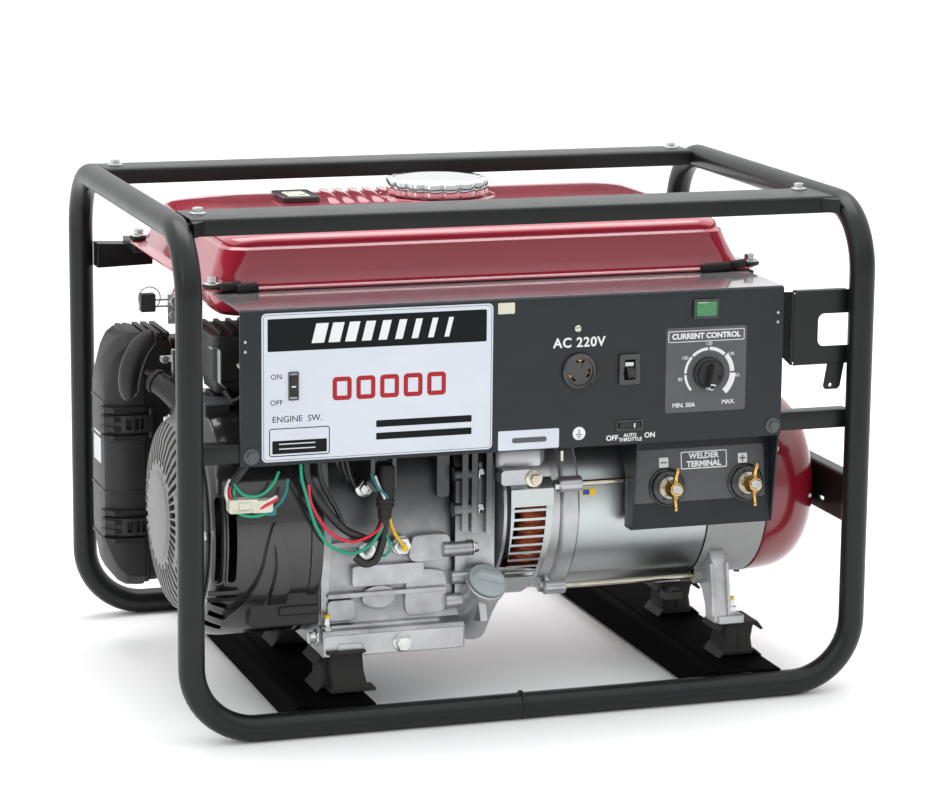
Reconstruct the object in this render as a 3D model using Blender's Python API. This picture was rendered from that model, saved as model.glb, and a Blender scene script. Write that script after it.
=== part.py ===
"""Engine driven welder: an open pipe frame round a petrol engine, a welding alternator and a control panel.

The tables below are in millimetres and the meshes in metres. X runs to the alternator end, -Y to the
control panel, Z up. The origin is on the floor under the middle of the frame.
"""

import math

import bmesh
import bpy
from mathutils import Matrix, Vector

# Overall size and the pipe everything hangs from
FRAME_L = 755.0
FRAME_W = 555.0
FRAME_H = 537.0
PIPE_D = 27.2
BEND_R = 68.0
JOINT_X = -11.0

# Clearances
GAP = 0.4
RUN_GAP = 1.0

# Top rails, cross members and brackets
RAIL_T = 2.3
RAIL_DROP = 18.0
RAIL_TOP = FRAME_H - 5.0
RAIL_FRONT = (-217.0, -147.0)
RAIL_REAR = (188.0, 238.0)
MEMBER_TOP = 30.0
MEMBER_FOOT = 4.0
MEMBER_T = 2.6
MEMBER_LEFT = (-253.0, -168.0)
MEMBER_RIGHT = (197.0, 285.0)
LEDGE = 15.0
BAR_Z = (287.5, 307.5)
BAR_FRONT = -252.6
BAR_DEEP = 20.0

# Rubber mounts
MOUNT_TOP = 69.6
MOUNT_W = 36.0
MOUNT_PLATE = 50.0
MOUNT_DEEP = 46.0
MOUNT_FRONT_Y = -190.0
MOUNT_REAR_Y = -10.0
MOUNT_LEFT_X = -196.0
MOUNT_RIGHT_X = 256.0

# Crank axis and the machine set along it
AXIS_Y = -110.0
AXIS_Z = 206.0
RECOIL_X = -363.0
SHROUD_X = (-333.0, -218.0)
SHROUD_R = 130.0
CASE_X = (-215.0, -22.0)
CASE_FOOT_END = -61.0
BRACKET_X = (-18.0, 69.0)
STATOR_END = 217.0
BAND_END = 286.0
DOME_END = 357.5
STATOR_R = 102.0
WALL = 3.0
SHAFT_R = 17.0

# Control panel sheet
PANEL_X = (-310.0, 279.0)
PANEL_Z = (284.0, 444.0)
PANEL_Y = -255.0
PANEL_T = 2.0
PANEL_BACK = -142.0

# Terminal box
TERM_X = (117.0, 278.0)
TERM_FOOT = 187.5
TERM_FACE_TOP = -228.0
TERM_FACE_FOOT = -240.0
POST_X = (158.8, 248.5)
POST_Z = 230.5
STUD_R = 5.0

# Fuel tank
TANK_FLANGE_X = (-322.0, 299.0)
TANK_FLANGE_Y = (-150.0, 216.0)
TANK_FLANGE_Z = (445.2, 448.2)
TANK_TOP = 504.0
CAP_AT = (6.0, 92.0)
CAP_R = 58.0

PIPE_R = PIPE_D / 2
PIPE_X = FRAME_L / 2 - PIPE_R
PIPE_Y = FRAME_W / 2 - PIPE_R
PIPE_TOP = FRAME_H - PIPE_R
PIPE_FOOT = PIPE_R

for old in list(bpy.data.objects):
    bpy.data.objects.remove(old)

PAINTS = {
    "frame_black": ((0.018, 0.019, 0.021), 0.42, 0.0),
    "panel_grey": ((0.045, 0.052, 0.058), 0.55, 0.0),
    "tank_red": ((0.28, 0.012, 0.022), 0.22, 0.0),
    "cast_aluminium": ((0.52, 0.53, 0.55), 0.45, 1.0),
    "zinc": ((0.60, 0.62, 0.62), 0.30, 1.0),
    "band_grey": ((0.46, 0.47, 0.47), 0.50, 0.3),
    "plastic_black": ((0.022, 0.022, 0.022), 0.50, 0.0),
    "recoil_silver": ((0.42, 0.42, 0.41), 0.50, 0.2),
    "rubber": ((0.016, 0.016, 0.017), 0.85, 0.0),
    "steel": ((0.45, 0.46, 0.48), 0.35, 1.0),
    "iron": ((0.20, 0.20, 0.21), 0.60, 0.8),
    "copper": ((0.50, 0.13, 0.05), 0.45, 0.7),
    "chrome": ((0.80, 0.81, 0.83), 0.10, 1.0),
    "brass": ((0.62, 0.40, 0.12), 0.28, 1.0),
    "lamp_green": ((0.01, 0.30, 0.06), 0.15, 0.0),
    "cap_grey": ((0.45, 0.49, 0.52), 0.45, 0.0),
}


def paint(name):
    if name in bpy.data.materials:
        return bpy.data.materials[name]
    colour, rough, metal = PAINTS[name]
    made = bpy.data.materials.new(name)
    made.use_nodes = True
    shader = made.node_tree.nodes["Principled BSDF"]
    shader.inputs["Base Color"].default_value = (*colour, 1)
    shader.inputs["Roughness"].default_value = rough
    shader.inputs["Metallic"].default_value = metal
    return made


def node(name, shape, colour, origin=(0, 0, 0)):
    """An object from a bmesh in millimetres, with its origin where it turns or slides."""
    bmesh.ops.recalc_face_normals(shape, faces=shape.faces[:])
    bmesh.ops.translate(shape, verts=shape.verts[:], vec=-Vector(origin))
    bmesh.ops.scale(shape, verts=shape.verts[:], vec=(0.001, 0.001, 0.001))
    mesh = bpy.data.meshes.new(name)
    shape.to_mesh(mesh)
    shape.free()
    made = bpy.data.objects.new(name, mesh)
    made.location = Vector(origin) * 0.001
    bpy.context.collection.objects.link(made)
    if colour:
        mesh.materials.append(paint(colour))
    return made


def prism(outline, along, start, end):
    """A solid with this outline. Along x the outline is (y, z), along y (x, z) and along z (x, y)."""
    place = {
        "x": lambda u, v, w: (w, u, v),
        "y": lambda u, v, w: (u, w, v),
        "z": lambda u, v, w: (u, v, w),
    }[along]
    shape = bmesh.new()
    rings = [[shape.verts.new(place(u, v, w)) for u, v in outline] for w in (start, end)]
    shape.faces.new(rings[0])
    shape.faces.new(list(reversed(rings[1])))
    count = len(outline)
    for i in range(count):
        j = (i + 1) % count
        shape.faces.new((rings[0][i], rings[1][i], rings[1][j], rings[0][j]))
    return shape


def block(xs, ys, zs, chamfer=0.0):
    shape = prism([(xs[0], ys[0]), (xs[1], ys[0]), (xs[1], ys[1]), (xs[0], ys[1])], "z", *zs)
    if chamfer:
        bmesh.ops.bevel(shape, geom=shape.edges[:], offset=chamfer, segments=1, affect="EDGES")
    return shape


def loft(rings):
    """A solid through rings of equal count, capped at both ends."""
    shape = bmesh.new()
    made = [[shape.verts.new(point) for point in ring] for ring in rings]
    count = len(rings[0])
    for low, high in zip(made, made[1:]):
        for i in range(count):
            j = (i + 1) % count
            shape.faces.new((low[i], low[j], high[j], high[i]))
    shape.faces.new(list(reversed(made[0])))
    shape.faces.new(made[-1])
    return shape


def lathe(profile, count=32, at=(0, AXIS_Y, AXIS_Z), along=(1, 0, 0)):
    """Spin a closed profile of (distance along the axis, radius) pairs. A radius of 0 is on the axis."""
    axis = Vector(along).normalized()
    side = axis.orthogonal().normalized() if abs(axis.x) < 0.99 else Vector((0, 1, 0))
    other = axis.cross(side)
    shape = bmesh.new()
    rings = []
    for far, radius in profile:
        middle = Vector(at) + axis * far
        if radius == 0:
            rings.append([shape.verts.new(middle)])
            continue
        ring = []
        for i in range(count):
            turn = math.tau * i / count
            ring.append(shape.verts.new(middle + (side * math.cos(turn) + other * math.sin(turn)) * radius))
        rings.append(ring)
    for low, high in zip(rings, rings[1:] + rings[:1]):
        for i in range(count):
            j = (i + 1) % count
            corners = [low[i % len(low)], low[j % len(low)], high[j % len(high)], high[i % len(high)]]
            corners = list(dict.fromkeys(corners))
            if len(corners) > 2:
                shape.faces.new(corners)
    return shape


def cylinder(start, end, radius, count=24, at=(0, AXIS_Y, AXIS_Z), along=(1, 0, 0)):
    return lathe([(start, 0), (start, radius), (end, radius), (end, 0)], count, at, along)


def bent(points, radius, steps=5):
    """A path through the points with its corners rounded."""
    path = [Vector(points[0])]
    for before, corner, after in zip(points, points[1:], points[2:]):
        corner = Vector(corner)
        back = (Vector(before) - corner).normalized()
        on = (Vector(after) - corner).normalized()
        half = back.angle(on) / 2
        reach = radius / math.tan(half)
        centre = corner + (back + on).normalized() * (radius / math.sin(half))
        first = corner + back * reach - centre
        last = corner + on * reach - centre
        turn = first.angle(last)
        for i in range(steps + 1):
            share = i / steps
            path.append(
                centre
                + first * (math.sin((1 - share) * turn) / math.sin(turn))
                + last * (math.sin(share * turn) / math.sin(turn))
            )
    path.append(Vector(points[-1]))
    return path


def sweep(path, radii, count=14):
    """A round bar along a path. The radii are one number or one for each point."""
    if not isinstance(radii, (list, tuple)):
        radii = [radii] * len(path)
    path = [Vector(point) for point in path]
    side = (path[1] - path[0]).orthogonal().normalized()
    rings = []
    for i, point in enumerate(path):
        ahead = (path[min(i + 1, len(path) - 1)] - path[max(i - 1, 0)]).normalized()
        side = (side - ahead * side.dot(ahead)).normalized()
        other = ahead.cross(side)
        ring = []
        for k in range(count):
            turn = math.tau * k / count
            ring.append(point + (side * math.cos(turn) + other * math.sin(turn)) * radii[i])
        rings.append(ring)
    return loft(rings)


def rounded(xs, ys, radius, z, corner=5):
    """A rounded rectangle at one height."""
    ring = []
    for cx, cy, start in (
        (xs[1] - radius, ys[1] - radius, 0),
        (xs[0] + radius, ys[1] - radius, 90),
        (xs[0] + radius, ys[0] + radius, 180),
        (xs[1] - radius, ys[0] + radius, 270),
    ):
        for i in range(corner + 1):
            turn = math.radians(start + 90 * i / corner)
            ring.append((cx + radius * math.cos(turn), cy + radius * math.sin(turn), z))
    return ring


def joined(shapes, how, tools):
    """The first shape with the tools added to it or cut from it, as a bmesh in millimetres."""
    base = node("working", shapes, None)
    helpers = []
    for i, tool in enumerate(tools):
        helper = node(f"helper_{i}", tool, None)
        helpers.append(helper)
        step = base.modifiers.new(f"step_{i}", "BOOLEAN")
        step.operation = how
        step.solver = "EXACT"
        step.object = helper
    graph = bpy.context.evaluated_depsgraph_get()
    graph.update()
    result = bmesh.new()
    result.from_object(base, graph)
    bmesh.ops.scale(result, verts=result.verts[:], vec=(1000, 1000, 1000))
    bmesh.ops.remove_doubles(result, verts=result.verts[:], dist=0.001)
    bmesh.ops.dissolve_limit(
        result, angle_limit=0.001, verts=result.verts[:], edges=result.edges[:]
    )
    bmesh.ops.triangulate(result, faces=result.faces[:])
    for spent in [base, *helpers]:
        bpy.data.objects.remove(spent)
    return result


def cut(shape, *tools):
    return joined(shape, "DIFFERENCE", tools)


def add(shape, *tools):
    return joined(shape, "UNION", tools)


# ---------------------------------------------------------------- frame
def half_frame(name, side):
    corners = [
        (JOINT_X + side * GAP / 2, -PIPE_Y, PIPE_FOOT),
        (side * PIPE_X, -PIPE_Y, PIPE_FOOT),
        (side * PIPE_X, -PIPE_Y, PIPE_TOP),
        (side * PIPE_X, PIPE_Y, PIPE_TOP),
        (side * PIPE_X, PIPE_Y, PIPE_FOOT),
        (JOINT_X + side * GAP / 2, PIPE_Y, PIPE_FOOT),
    ]
    node(name, sweep(bent(corners, BEND_R), PIPE_R), "frame_black")


half_frame("frame_pipe_left", -1)
half_frame("frame_pipe_right", 1)


def top_rail(name, ys):
    front, back = ys
    foot = RAIL_TOP - RAIL_DROP
    end = PIPE_X - PIPE_R - GAP
    outline = [
        (front, foot),
        (front, RAIL_TOP - 2),
        (front + 2, RAIL_TOP),
        (back - 2, RAIL_TOP),
        (back, RAIL_TOP - 2),
        (back, foot),
        (back - RAIL_T, foot),
        (back - RAIL_T, RAIL_TOP - RAIL_T),
        (front + RAIL_T, RAIL_TOP - RAIL_T),
        (front + RAIL_T, foot),
    ]
    node(name, prism(outline, "x", -end, end), "frame_black")


top_rail("top_rail_front", RAIL_FRONT)
top_rail("top_rail_rear", RAIL_REAR)


def cross_member(name, xs):
    left, right = xs
    top = MEMBER_TOP
    rim = top + 3
    t = MEMBER_T
    outline = [
        (left, MEMBER_FOOT),
        (left, rim - 1.5),
        (left + 1.5, rim),
        (left + LEDGE - 2, rim),
        (left + LEDGE, top),
        (right - 1.5, top),
        (right, top - 1.5),
        (right, MEMBER_FOOT),
        (right - t, MEMBER_FOOT),
        (right - t, top - t),
        (left + LEDGE - t, top - t),
        (left + LEDGE - 2 - t, rim - t),
        (left + t, rim - t),
        (left + t, MEMBER_FOOT),
    ]
    bar = prism(outline, "y", -PIPE_Y + 2, PIPE_Y - 2)
    copes = [
        cylinder(left - 5, right + 5, PIPE_R + GAP, 32, (0, y, PIPE_FOOT)) for y in (-PIPE_Y, PIPE_Y)
    ]
    node(name, cut(bar, *copes), "frame_black")


cross_member("cross_member_left", MEMBER_LEFT)
cross_member("cross_member_right", MEMBER_RIGHT)

BAR_END = PIPE_X - 10
for bar_name, bar_xs in (
    ("panel_bar_left", (-BAR_END, PANEL_X[0] + 30)),
    ("panel_bar_right", (PANEL_X[1] - 24, BAR_END)),
):
    node(bar_name, block(bar_xs, (BAR_FRONT, BAR_FRONT + BAR_DEEP), BAR_Z, 1.0), "frame_black")

BRACKET_PLATE_X = (PANEL_X[1] + 13, BAR_END)
BRACKET_PLATE_Z = (358.0, 437.0)
plate = block(BRACKET_PLATE_X, (BAR_FRONT, BAR_FRONT + 3), BRACKET_PLATE_Z)
window = block((322.0, BAR_END + 10), (BAR_FRONT - 5, BAR_FRONT + 8), (378.0, 414.0))
plate = cut(plate, window)
flange_x = (BRACKET_PLATE_X[0] - 3, BRACKET_PLATE_X[0] + 0.5)
flange = block(flange_x, (BAR_FRONT, BAR_FRONT + 40), BRACKET_PLATE_Z)
lip = block((BRACKET_PLATE_X[0] - 1, BAR_END), (BAR_FRONT + 0.5, BAR_FRONT + 12), (434.0, 437.0))
tab = block((326.0, 346.0), (BAR_FRONT + 0.5, BAR_FRONT + 3.5), (334.0, 360.0))
node("panel_bracket_right", add(plate, flange, lip, tab), "frame_black")

BRACE_X = (359.0, 374.0)
BRACE_Z = (181.0, 234.0)
brace_end = PIPE_Y - PIPE_R - GAP
brace = [
    (BRACE_X[0], BRACE_Z[0]),
    (BRACE_X[0], BRACE_Z[1]),
    (BRACE_X[1], BRACE_Z[1]),
    (BRACE_X[1], BRACE_Z[1] - 3),
    (BRACE_X[0] + 3, BRACE_Z[1] - 3),
    (BRACE_X[0] + 3, BRACE_Z[0] + 3),
    (BRACE_X[1], BRACE_Z[0] + 3),
    (BRACE_X[1], BRACE_Z[0]),
]
node("side_brace_right", prism(brace, "y", -brace_end, brace_end), "frame_black")

ARM_Z = (414.0, 438.0)
ARM_END = PIPE_X - PIPE_R - GAP
ARM_Y = 240.0
for arm_name, arm_xs in (
    ("tank_arm_left", (-ARM_END, -286.0)),
    ("tank_arm_right", (262.0, ARM_END)),
):
    arm = block(arm_xs, (ARM_Y, ARM_Y + 24), ARM_Z, 1.0)
    near = arm_xs[1] if arm_xs[0] < 0 else arm_xs[0]
    pad_x = (near - 30, near - 4) if arm_xs[0] < 0 else (near + 4, near + 30)
    pad = block(pad_x, (TANK_FLANGE_Y[1] - 12, ARM_Y + 20), (ARM_Z[1] - 3, TANK_FLANGE_Z[0] - GAP))
    node(arm_name, add(arm, pad), "frame_black")


# ---------------------------------------------------------------- rubber mounts
def mount(name, x, y):
    foot = MEMBER_TOP + GAP
    half = MOUNT_W / 2
    wide = MOUNT_PLATE / 2
    outline = [
        (x - wide - 3, foot),
        (x - wide, foot),
        (x - half - 1, foot + 6),
        (x + half + 1, foot + 6),
        (x + wide, foot),
        (x + wide + 3, foot),
        (x + wide, foot + 4),
        (x + half + 1, foot + 10),
        (x + half - 2, foot + 10),
        (x + half - 2, MOUNT_TOP - 4),
        (x + wide - 4, MOUNT_TOP - 9),
        (x + wide - 1, MOUNT_TOP - 7),
        (x + half, MOUNT_TOP),
        (x - half, MOUNT_TOP),
        (x - wide + 1, MOUNT_TOP - 7),
        (x - wide + 4, MOUNT_TOP - 9),
        (x - half + 2, MOUNT_TOP - 4),
        (x - half + 2, foot + 10),
        (x - half - 1, foot + 10),
        (x - wide, foot + 4),
    ]
    node(name, prism(outline, "y", y - MOUNT_DEEP / 2, y + MOUNT_DEEP / 2), "rubber")


mount("mount_engine_front", MOUNT_LEFT_X, MOUNT_FRONT_Y)
mount("mount_engine_rear", MOUNT_LEFT_X, MOUNT_REAR_Y)
mount("mount_alternator_front", MOUNT_RIGHT_X, MOUNT_FRONT_Y)
mount("mount_alternator_rear", MOUNT_RIGHT_X, MOUNT_REAR_Y)

# ---------------------------------------------------------------- engine
FOOT_Z = MOUNT_TOP + GAP
CASE_BACK = 2.0
case_outline = [
    (-224.0, FOOT_Z),
    (-224.0, FOOT_Z + 26),
    (-203.0, FOOT_Z + 31),
    (-198.0, 150.0),
    (-192.0, 188.0),
    (-186.0, 246.0),
    (-165.0, 292.0),
    (-120.0, 312.0),
    (-50.0, 316.0),
    (CASE_BACK, 296.0),
    (CASE_BACK, FOOT_Z + 31),
    (14.0, FOOT_Z + 26),
    (14.0, FOOT_Z),
]
case = prism(case_outline, "x", CASE_X[0], CASE_FOOT_END)
cover_outline = [
    (-196.0, 96.0),
    (-204.0, 132.0),
    (-204.0, 250.0),
    (-180.0, 296.0),
    (-120.0, 318.0),
    (-50.0, 320.0),
    (CASE_BACK, 298.0),
    (CASE_BACK, 110.0),
    (-20.0, 90.0),
    (-170.0, 84.0),
]
side_cover = prism(cover_outline, "x", CASE_FOOT_END - 6, CASE_X[1])
FILLER_AT = Vector((-45.0, -190.0, 96.0))
FILLER_ALONG = Vector((0.16, -0.60, 0.78)).normalized()
FILLER_LONG = 52.0
FILLER_R = 20.0
neck = lathe(
    [(-12, 0), (-12, FILLER_R - 2), (FILLER_LONG - 5, FILLER_R), (FILLER_LONG, FILLER_R), (FILLER_LONG, 0)],
    24,
    FILLER_AT,
    FILLER_ALONG,
)
bore = cylinder(CASE_X[0] - 5, CASE_X[1] + 5, SHAFT_R + RUN_GAP)
node("crankcase", cut(add(case, side_cover, neck), bore), "cast_aluminium")

cap_start = FILLER_LONG + GAP
node(
    "oil_filler_cap",
    add(
        lathe(
            [
                (cap_start, 0),
                (cap_start, 18.5),
                (cap_start + 2, 20.5),
                (cap_start + 8, 19.5),
                (cap_start + 9, 0),
            ],
            24,
            FILLER_AT,
            FILLER_ALONG,
        ),
        lathe(
            [(cap_start + 8, 0), (cap_start + 8, 6), (cap_start + 17, 4), (cap_start + 17, 0)],
            8,
            FILLER_AT,
            FILLER_ALONG,
        ),
    ),
    "cap_grey",
    FILLER_AT + FILLER_ALONG * cap_start,
)

HEAD_X = (-175.0, -62.0)
head_start = CASE_BACK + GAP
head_outline = [
    (head_start, 148.0),
    (head_start, 280.0),
    (96.0, 324.0),
    (118.0, 322.0),
    (166.0, 214.0),
    (158.0, 200.0),
    (60.0, 156.0),
]
node("cylinder_head", prism(head_outline, "x", *HEAD_X), "cast_aluminium")

lip_r = 100.0
shroud = lathe(
    [
        (SHROUD_X[0], lip_r),
        (SHROUD_X[0], SHROUD_R - 12),
        (SHROUD_X[0] + 14, SHROUD_R - 2),
        (SHROUD_X[0] + 40, SHROUD_R),
        (SHROUD_X[1], SHROUD_R),
        (SHROUD_X[1], 40),
        (SHROUD_X[1] - WALL, 40),
        (SHROUD_X[1] - WALL, SHROUD_R - WALL),
        (SHROUD_X[0] + 40, SHROUD_R - WALL),
        (SHROUD_X[0] + 14, SHROUD_R - 2 - WALL),
        (SHROUD_X[0] + WALL, SHROUD_R - 12 - WALL),
        (SHROUD_X[0] + WALL, lip_r),
    ],
    36,
)
cheek = prism(
    [(-222.0, 118.0), (-222.0, 232.0), (-214.0, 268.0), (-190.0, 268.0), (-190.0, 106.0), (-208.0, 106.0)],
    "x",
    -292.0,
    SHROUD_X[1] - 0.6,
)
inside = SHROUD_R - WALL / 2
hollow = lathe(
    [(-345, 0), (-345, inside - 12), (-318, inside - 2), (-300, inside), (-210, inside), (-210, 0)],
    36,
)
guide = sweep([(-309.0, -46.0, 296.0), (-322.0, -20.0, 318.0), (-340.0, 4.0, 326.0)], [15, 14, 10], 10)
node("fan_shroud", add(shroud, cut(add(cheek, guide), hollow)), "plastic_black")

cover_foot = SHROUD_X[0] - GAP
recoil = lathe(
    [
        (cover_foot, 106),
        (cover_foot - 8, 104),
        (cover_foot - 16, 98),
        (cover_foot - 24, 84),
        (cover_foot - 27, 44),
        (RECOIL_X, 40),
        (RECOIL_X, 0),
        (RECOIL_X + WALL, 0),
        (RECOIL_X + WALL, 38),
        (cover_foot - 24, 42),
        (cover_foot - 21, 82),
        (cover_foot - 14, 95),
        (cover_foot - 6, 101),
        (cover_foot, 103),
    ],
    36,
)
slots = []
for turn in range(12):
    angle = math.tau * (turn + 0.5) / 12
    slot = block((RECOIL_X - 5, cover_foot - 3), (52.0, 92.0), (-4.0, 4.0))
    bmesh.ops.rotate(slot, verts=slot.verts[:], cent=(0, 0, 0), matrix=Matrix.Rotation(angle, 3, "X"))
    bmesh.ops.translate(slot, verts=slot.verts[:], vec=(0, AXIS_Y, AXIS_Z))
    slots.append(slot)
node("recoil_cover", cut(recoil, *slots), "recoil_silver")

GRIP_AT = (-343.0, -5.0, 340.0)
grip_path = [
    (-334.0, 18.0, 374.0),
    (-341.0, 18.0, 370.0),
    (-352.0, 18.0, 358.0),
    (-360.0, 18.0, 341.0),
    (-364.0, 18.0, 324.0),
    (-363.0, 18.0, 311.0),
    (-360.0, 18.0, 305.0),
]
node("recoil_grip", sweep(grip_path, [4, 9.5, 12, 12.5, 12, 9.5, 4], 12), "rubber", GRIP_AT)

node(
    "flywheel",
    lathe(
        [
            (-322, SHAFT_R + GAP),
            (-322, 34),
            (-300, 38),
            (-296, 96),
            (-300, 110),
            (-262, 110),
            (-262, 96),
            (-256, 90),
            (-234, 90),
            (-234, 80),
            (-270, 76),
            (-270, 34),
            (-240, 34),
            (-240, SHAFT_R + GAP),
        ],
        32,
    ),
    "iron",
    (0, AXIS_Y, AXIS_Z),
)
SHAFT_END = BRACKET_X[0] + 2
node(
    "crankshaft",
    lathe([(-332, 0), (-332, 12), (-326, SHAFT_R), (SHAFT_END, SHAFT_R), (SHAFT_END, 0)], 20),
    "steel",
    (0, AXIS_Y, AXIS_Z),
)

# ---------------------------------------------------------------- alternator
RING_R = STATOR_R + 5.0
bracket = lathe(
    [
        (BRACKET_X[0], 30),
        (BRACKET_X[0], RING_R - 23),
        (BRACKET_X[0] + 6, RING_R - 11),
        (BRACKET_X[1] - 20, RING_R - 5),
        (BRACKET_X[1] - 16, RING_R),
        (BRACKET_X[1], RING_R),
        (BRACKET_X[1], RING_R - 10),
        (BRACKET_X[0] + 12, RING_R - 15),
        (BRACKET_X[0] + 6, RING_R - 23),
        (BRACKET_X[0] + 6, 30),
    ],
    40,
)
ROD_R = 3.2
ROD_ANGLES = (164.0, 237.0)
ROD_CIRCLE = STATOR_R + 8.0
ROD_AT = [
    (AXIS_Y + ROD_CIRCLE * math.cos(math.radians(turn)), AXIS_Z + ROD_CIRCLE * math.sin(math.radians(turn)))
    for turn in ROD_ANGLES
]


vent_window = block((BRACKET_X[0] + 10, 36.0), (-240.0, -172.0), (138.0, 238.0))
ear = block((CASE_X[1] + GAP, 14.0), (AXIS_Y - RING_R - 5, AXIS_Y - RING_R + 27), (240.0, 256.0))
bracket = cut(bracket, vent_window)
bosses = [cylinder(BRACKET_X[1] - 24, BRACKET_X[1] - 0.5, 8.5, 12, (0, *at)) for at in ROD_AT]
bracket = add(bracket, *bosses, ear)
node("alternator_bracket", bracket, "cast_aluminium")

vent = lathe(
    [(-6, RING_R + 1.5), (38, RING_R + 1.5), (38, RING_R + 3), (-6, RING_R + 3)],
    72,
)
keep = prism([(-300.0, 140.0), (-150.0, 106.0), (-150.0, 238.0), (-300.0, 238.0)], "x", -20.0, 60.0)
vent = joined(vent, "INTERSECT", [keep])
vent_slots = []
for i in range(7):
    angle = math.radians(168 + i * 9.6)
    slot = block((0.0, 32.0), (RING_R - 7, RING_R + 11), (-5.6, 5.6))
    bmesh.ops.rotate(slot, verts=slot.verts[:], cent=(0, 0, 0), matrix=Matrix.Rotation(angle, 3, "X"))
    bmesh.ops.translate(slot, verts=slot.verts[:], vec=(0, AXIS_Y, AXIS_Z))
    vent_slots.append(slot)
node("vent_cover", cut(vent, *vent_slots), "zinc")

tube_start = BRACKET_X[1] + GAP
node(
    "stator_housing",
    lathe(
        [
            (tube_start, STATOR_R - WALL),
            (tube_start, STATOR_R),
            (STATOR_END, STATOR_R),
            (STATOR_END, STATOR_R - WALL),
        ],
        48,
    ),
    "zinc",
)
CORE_X = (86.0, 202.0)
CORE_R = STATOR_R - WALL - GAP
ROTOR_R = 60.0
node(
    "stator_core",
    lathe(
        [
            (CORE_X[0], ROTOR_R + RUN_GAP),
            (CORE_X[0], CORE_R),
            (CORE_X[1], CORE_R),
            (CORE_X[1], ROTOR_R + RUN_GAP),
        ],
        32,
    ),
    "iron",
)
node(
    "stator_winding",
    lathe(
        [
            (14, STATOR_R - 32),
            (10, STATOR_R - 26),
            (12, STATOR_R - 18),
            (22, STATOR_R - 14),
            (CORE_X[0] - GAP, STATOR_R - 18),
            (CORE_X[0] - GAP, 66),
            (24, 66),
        ],
        32,
    ),
    "copper",
)
FAN_R = STATOR_R - 26.0
node(
    "rotor",
    lathe(
        [
            (SHAFT_END + GAP, 0),
            (SHAFT_END + GAP, 20),
            (-6, 20),
            (-6, FAN_R),
            (4, FAN_R),
            (4, 22),
            (CORE_X[0] - 20, 22),
            (CORE_X[0] - 12, 52),
            (CORE_X[0] + 4, ROTOR_R),
            (CORE_X[1] - 4, ROTOR_R),
            (CORE_X[1] + 12, 52),
            (CORE_X[1] + 20, 18),
            (262, 15),
            (262, 0),
        ],
        32,
    ),
    "iron",
    (0, AXIS_Y, AXIS_Z),
)
band_start = STATOR_END + GAP
band = lathe(
    [
        (band_start, STATOR_R - 8),
        (band_start, STATOR_R),
        (BAND_END, STATOR_R),
        (BAND_END, 24),
        (BAND_END - 6, 24),
        (BAND_END - 6, STATOR_R - 8),
    ],
    48,
)
FOOT_X = (MOUNT_RIGHT_X - 32, MOUNT_RIGHT_X - 13)
PAD_X = (MOUNT_RIGHT_X - 28, MOUNT_RIGHT_X + 4)
leg = [
    (-216.0, FOOT_Z + 1),
    (-212.0, 92.0),
    (AXIS_Y - STATOR_R + 10.0, AXIS_Z - 66.0),
    (AXIS_Y - STATOR_R + 22.0, AXIS_Z - 56.0),
    (AXIS_Y - STATOR_R + 62.0, AXIS_Z - 93.0),
    (-180.0, 98.0),
    (-190.0, FOOT_Z + 1),
]
far_leg = [(2 * AXIS_Y - y, z) for y, z in leg]
legs = [prism(side, "x", *FOOT_X) for side in (leg, far_leg)]
pads = [block(PAD_X, ys, (FOOT_Z, FOOT_Z + 9)) for ys in ((-220.0, -186.0), (-34.0, 0.0))]
bosses = [cylinder(band_start, band_start + 18, 9.0, 12, (0, *at)) for at in ROD_AT]
band = add(band, *legs, *pads, *bosses)
node("rear_bracket", band, "band_grey")
for rod_name, at in zip(("through_bolt_upper", "through_bolt_lower"), ROD_AT):
    node(rod_name, cylinder(BRACKET_X[1], STATOR_END, ROD_R, 10, (0, *at)), "steel")
dome_start = BAND_END + GAP
node(
    "end_cover",
    lathe(
        [
            (dome_start, STATOR_R),
            (dome_start + 24, STATOR_R - 0.6),
            (dome_start + 44, STATOR_R - 6),
            (dome_start + 58, STATOR_R - 17),
            (dome_start + 67, STATOR_R - 38),
            (DOME_END, STATOR_R - 62),
            (DOME_END, 0),
            (DOME_END - 2, 0),
            (DOME_END - 2, STATOR_R - 63),
            (dome_start + 65, STATOR_R - 40),
            (dome_start + 56.5, STATOR_R - 19),
            (dome_start + 43, STATOR_R - 8),
            (dome_start + 24, STATOR_R - 2.6),
            (dome_start, STATOR_R - 2),
        ],
        36,
    ),
    "tank_red",
)

# ---------------------------------------------------------------- air cleaner, carburettor, exhaust
AIR_Y = (92.0, 182.0)
AIR_Z = (74.0, 361.0)
AIR_SPLIT = -330.0
AIR_OUT = -368.0
node(
    "air_cleaner_cover",
    prism(
        [
            (AIR_SPLIT, AIR_Z[0]),
            (AIR_SPLIT, AIR_Z[1]),
            (-346.0, AIR_Z[1] - 2),
            (-360.0, AIR_Z[1] - 16),
            (AIR_OUT, AIR_Z[1] - 42),
            (AIR_OUT, AIR_Z[0] + 34),
            (-358.0, AIR_Z[0] + 14),
            (-344.0, AIR_Z[0] + 2),
        ],
        "y",
        *AIR_Y,
    ),
    "plastic_black",
)
node(
    "air_cleaner_body",
    add(
        block((AIR_SPLIT + GAP, -296.0), (AIR_Y[0] + 3, AIR_Y[1]), (AIR_Z[0] + 4, AIR_Z[1] - 4), 4.0),
        block((-310.0, -262.0), (110.0, 160.0), (306.0, 352.0), 3.0),
    ),
    "plastic_black",
)
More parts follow.
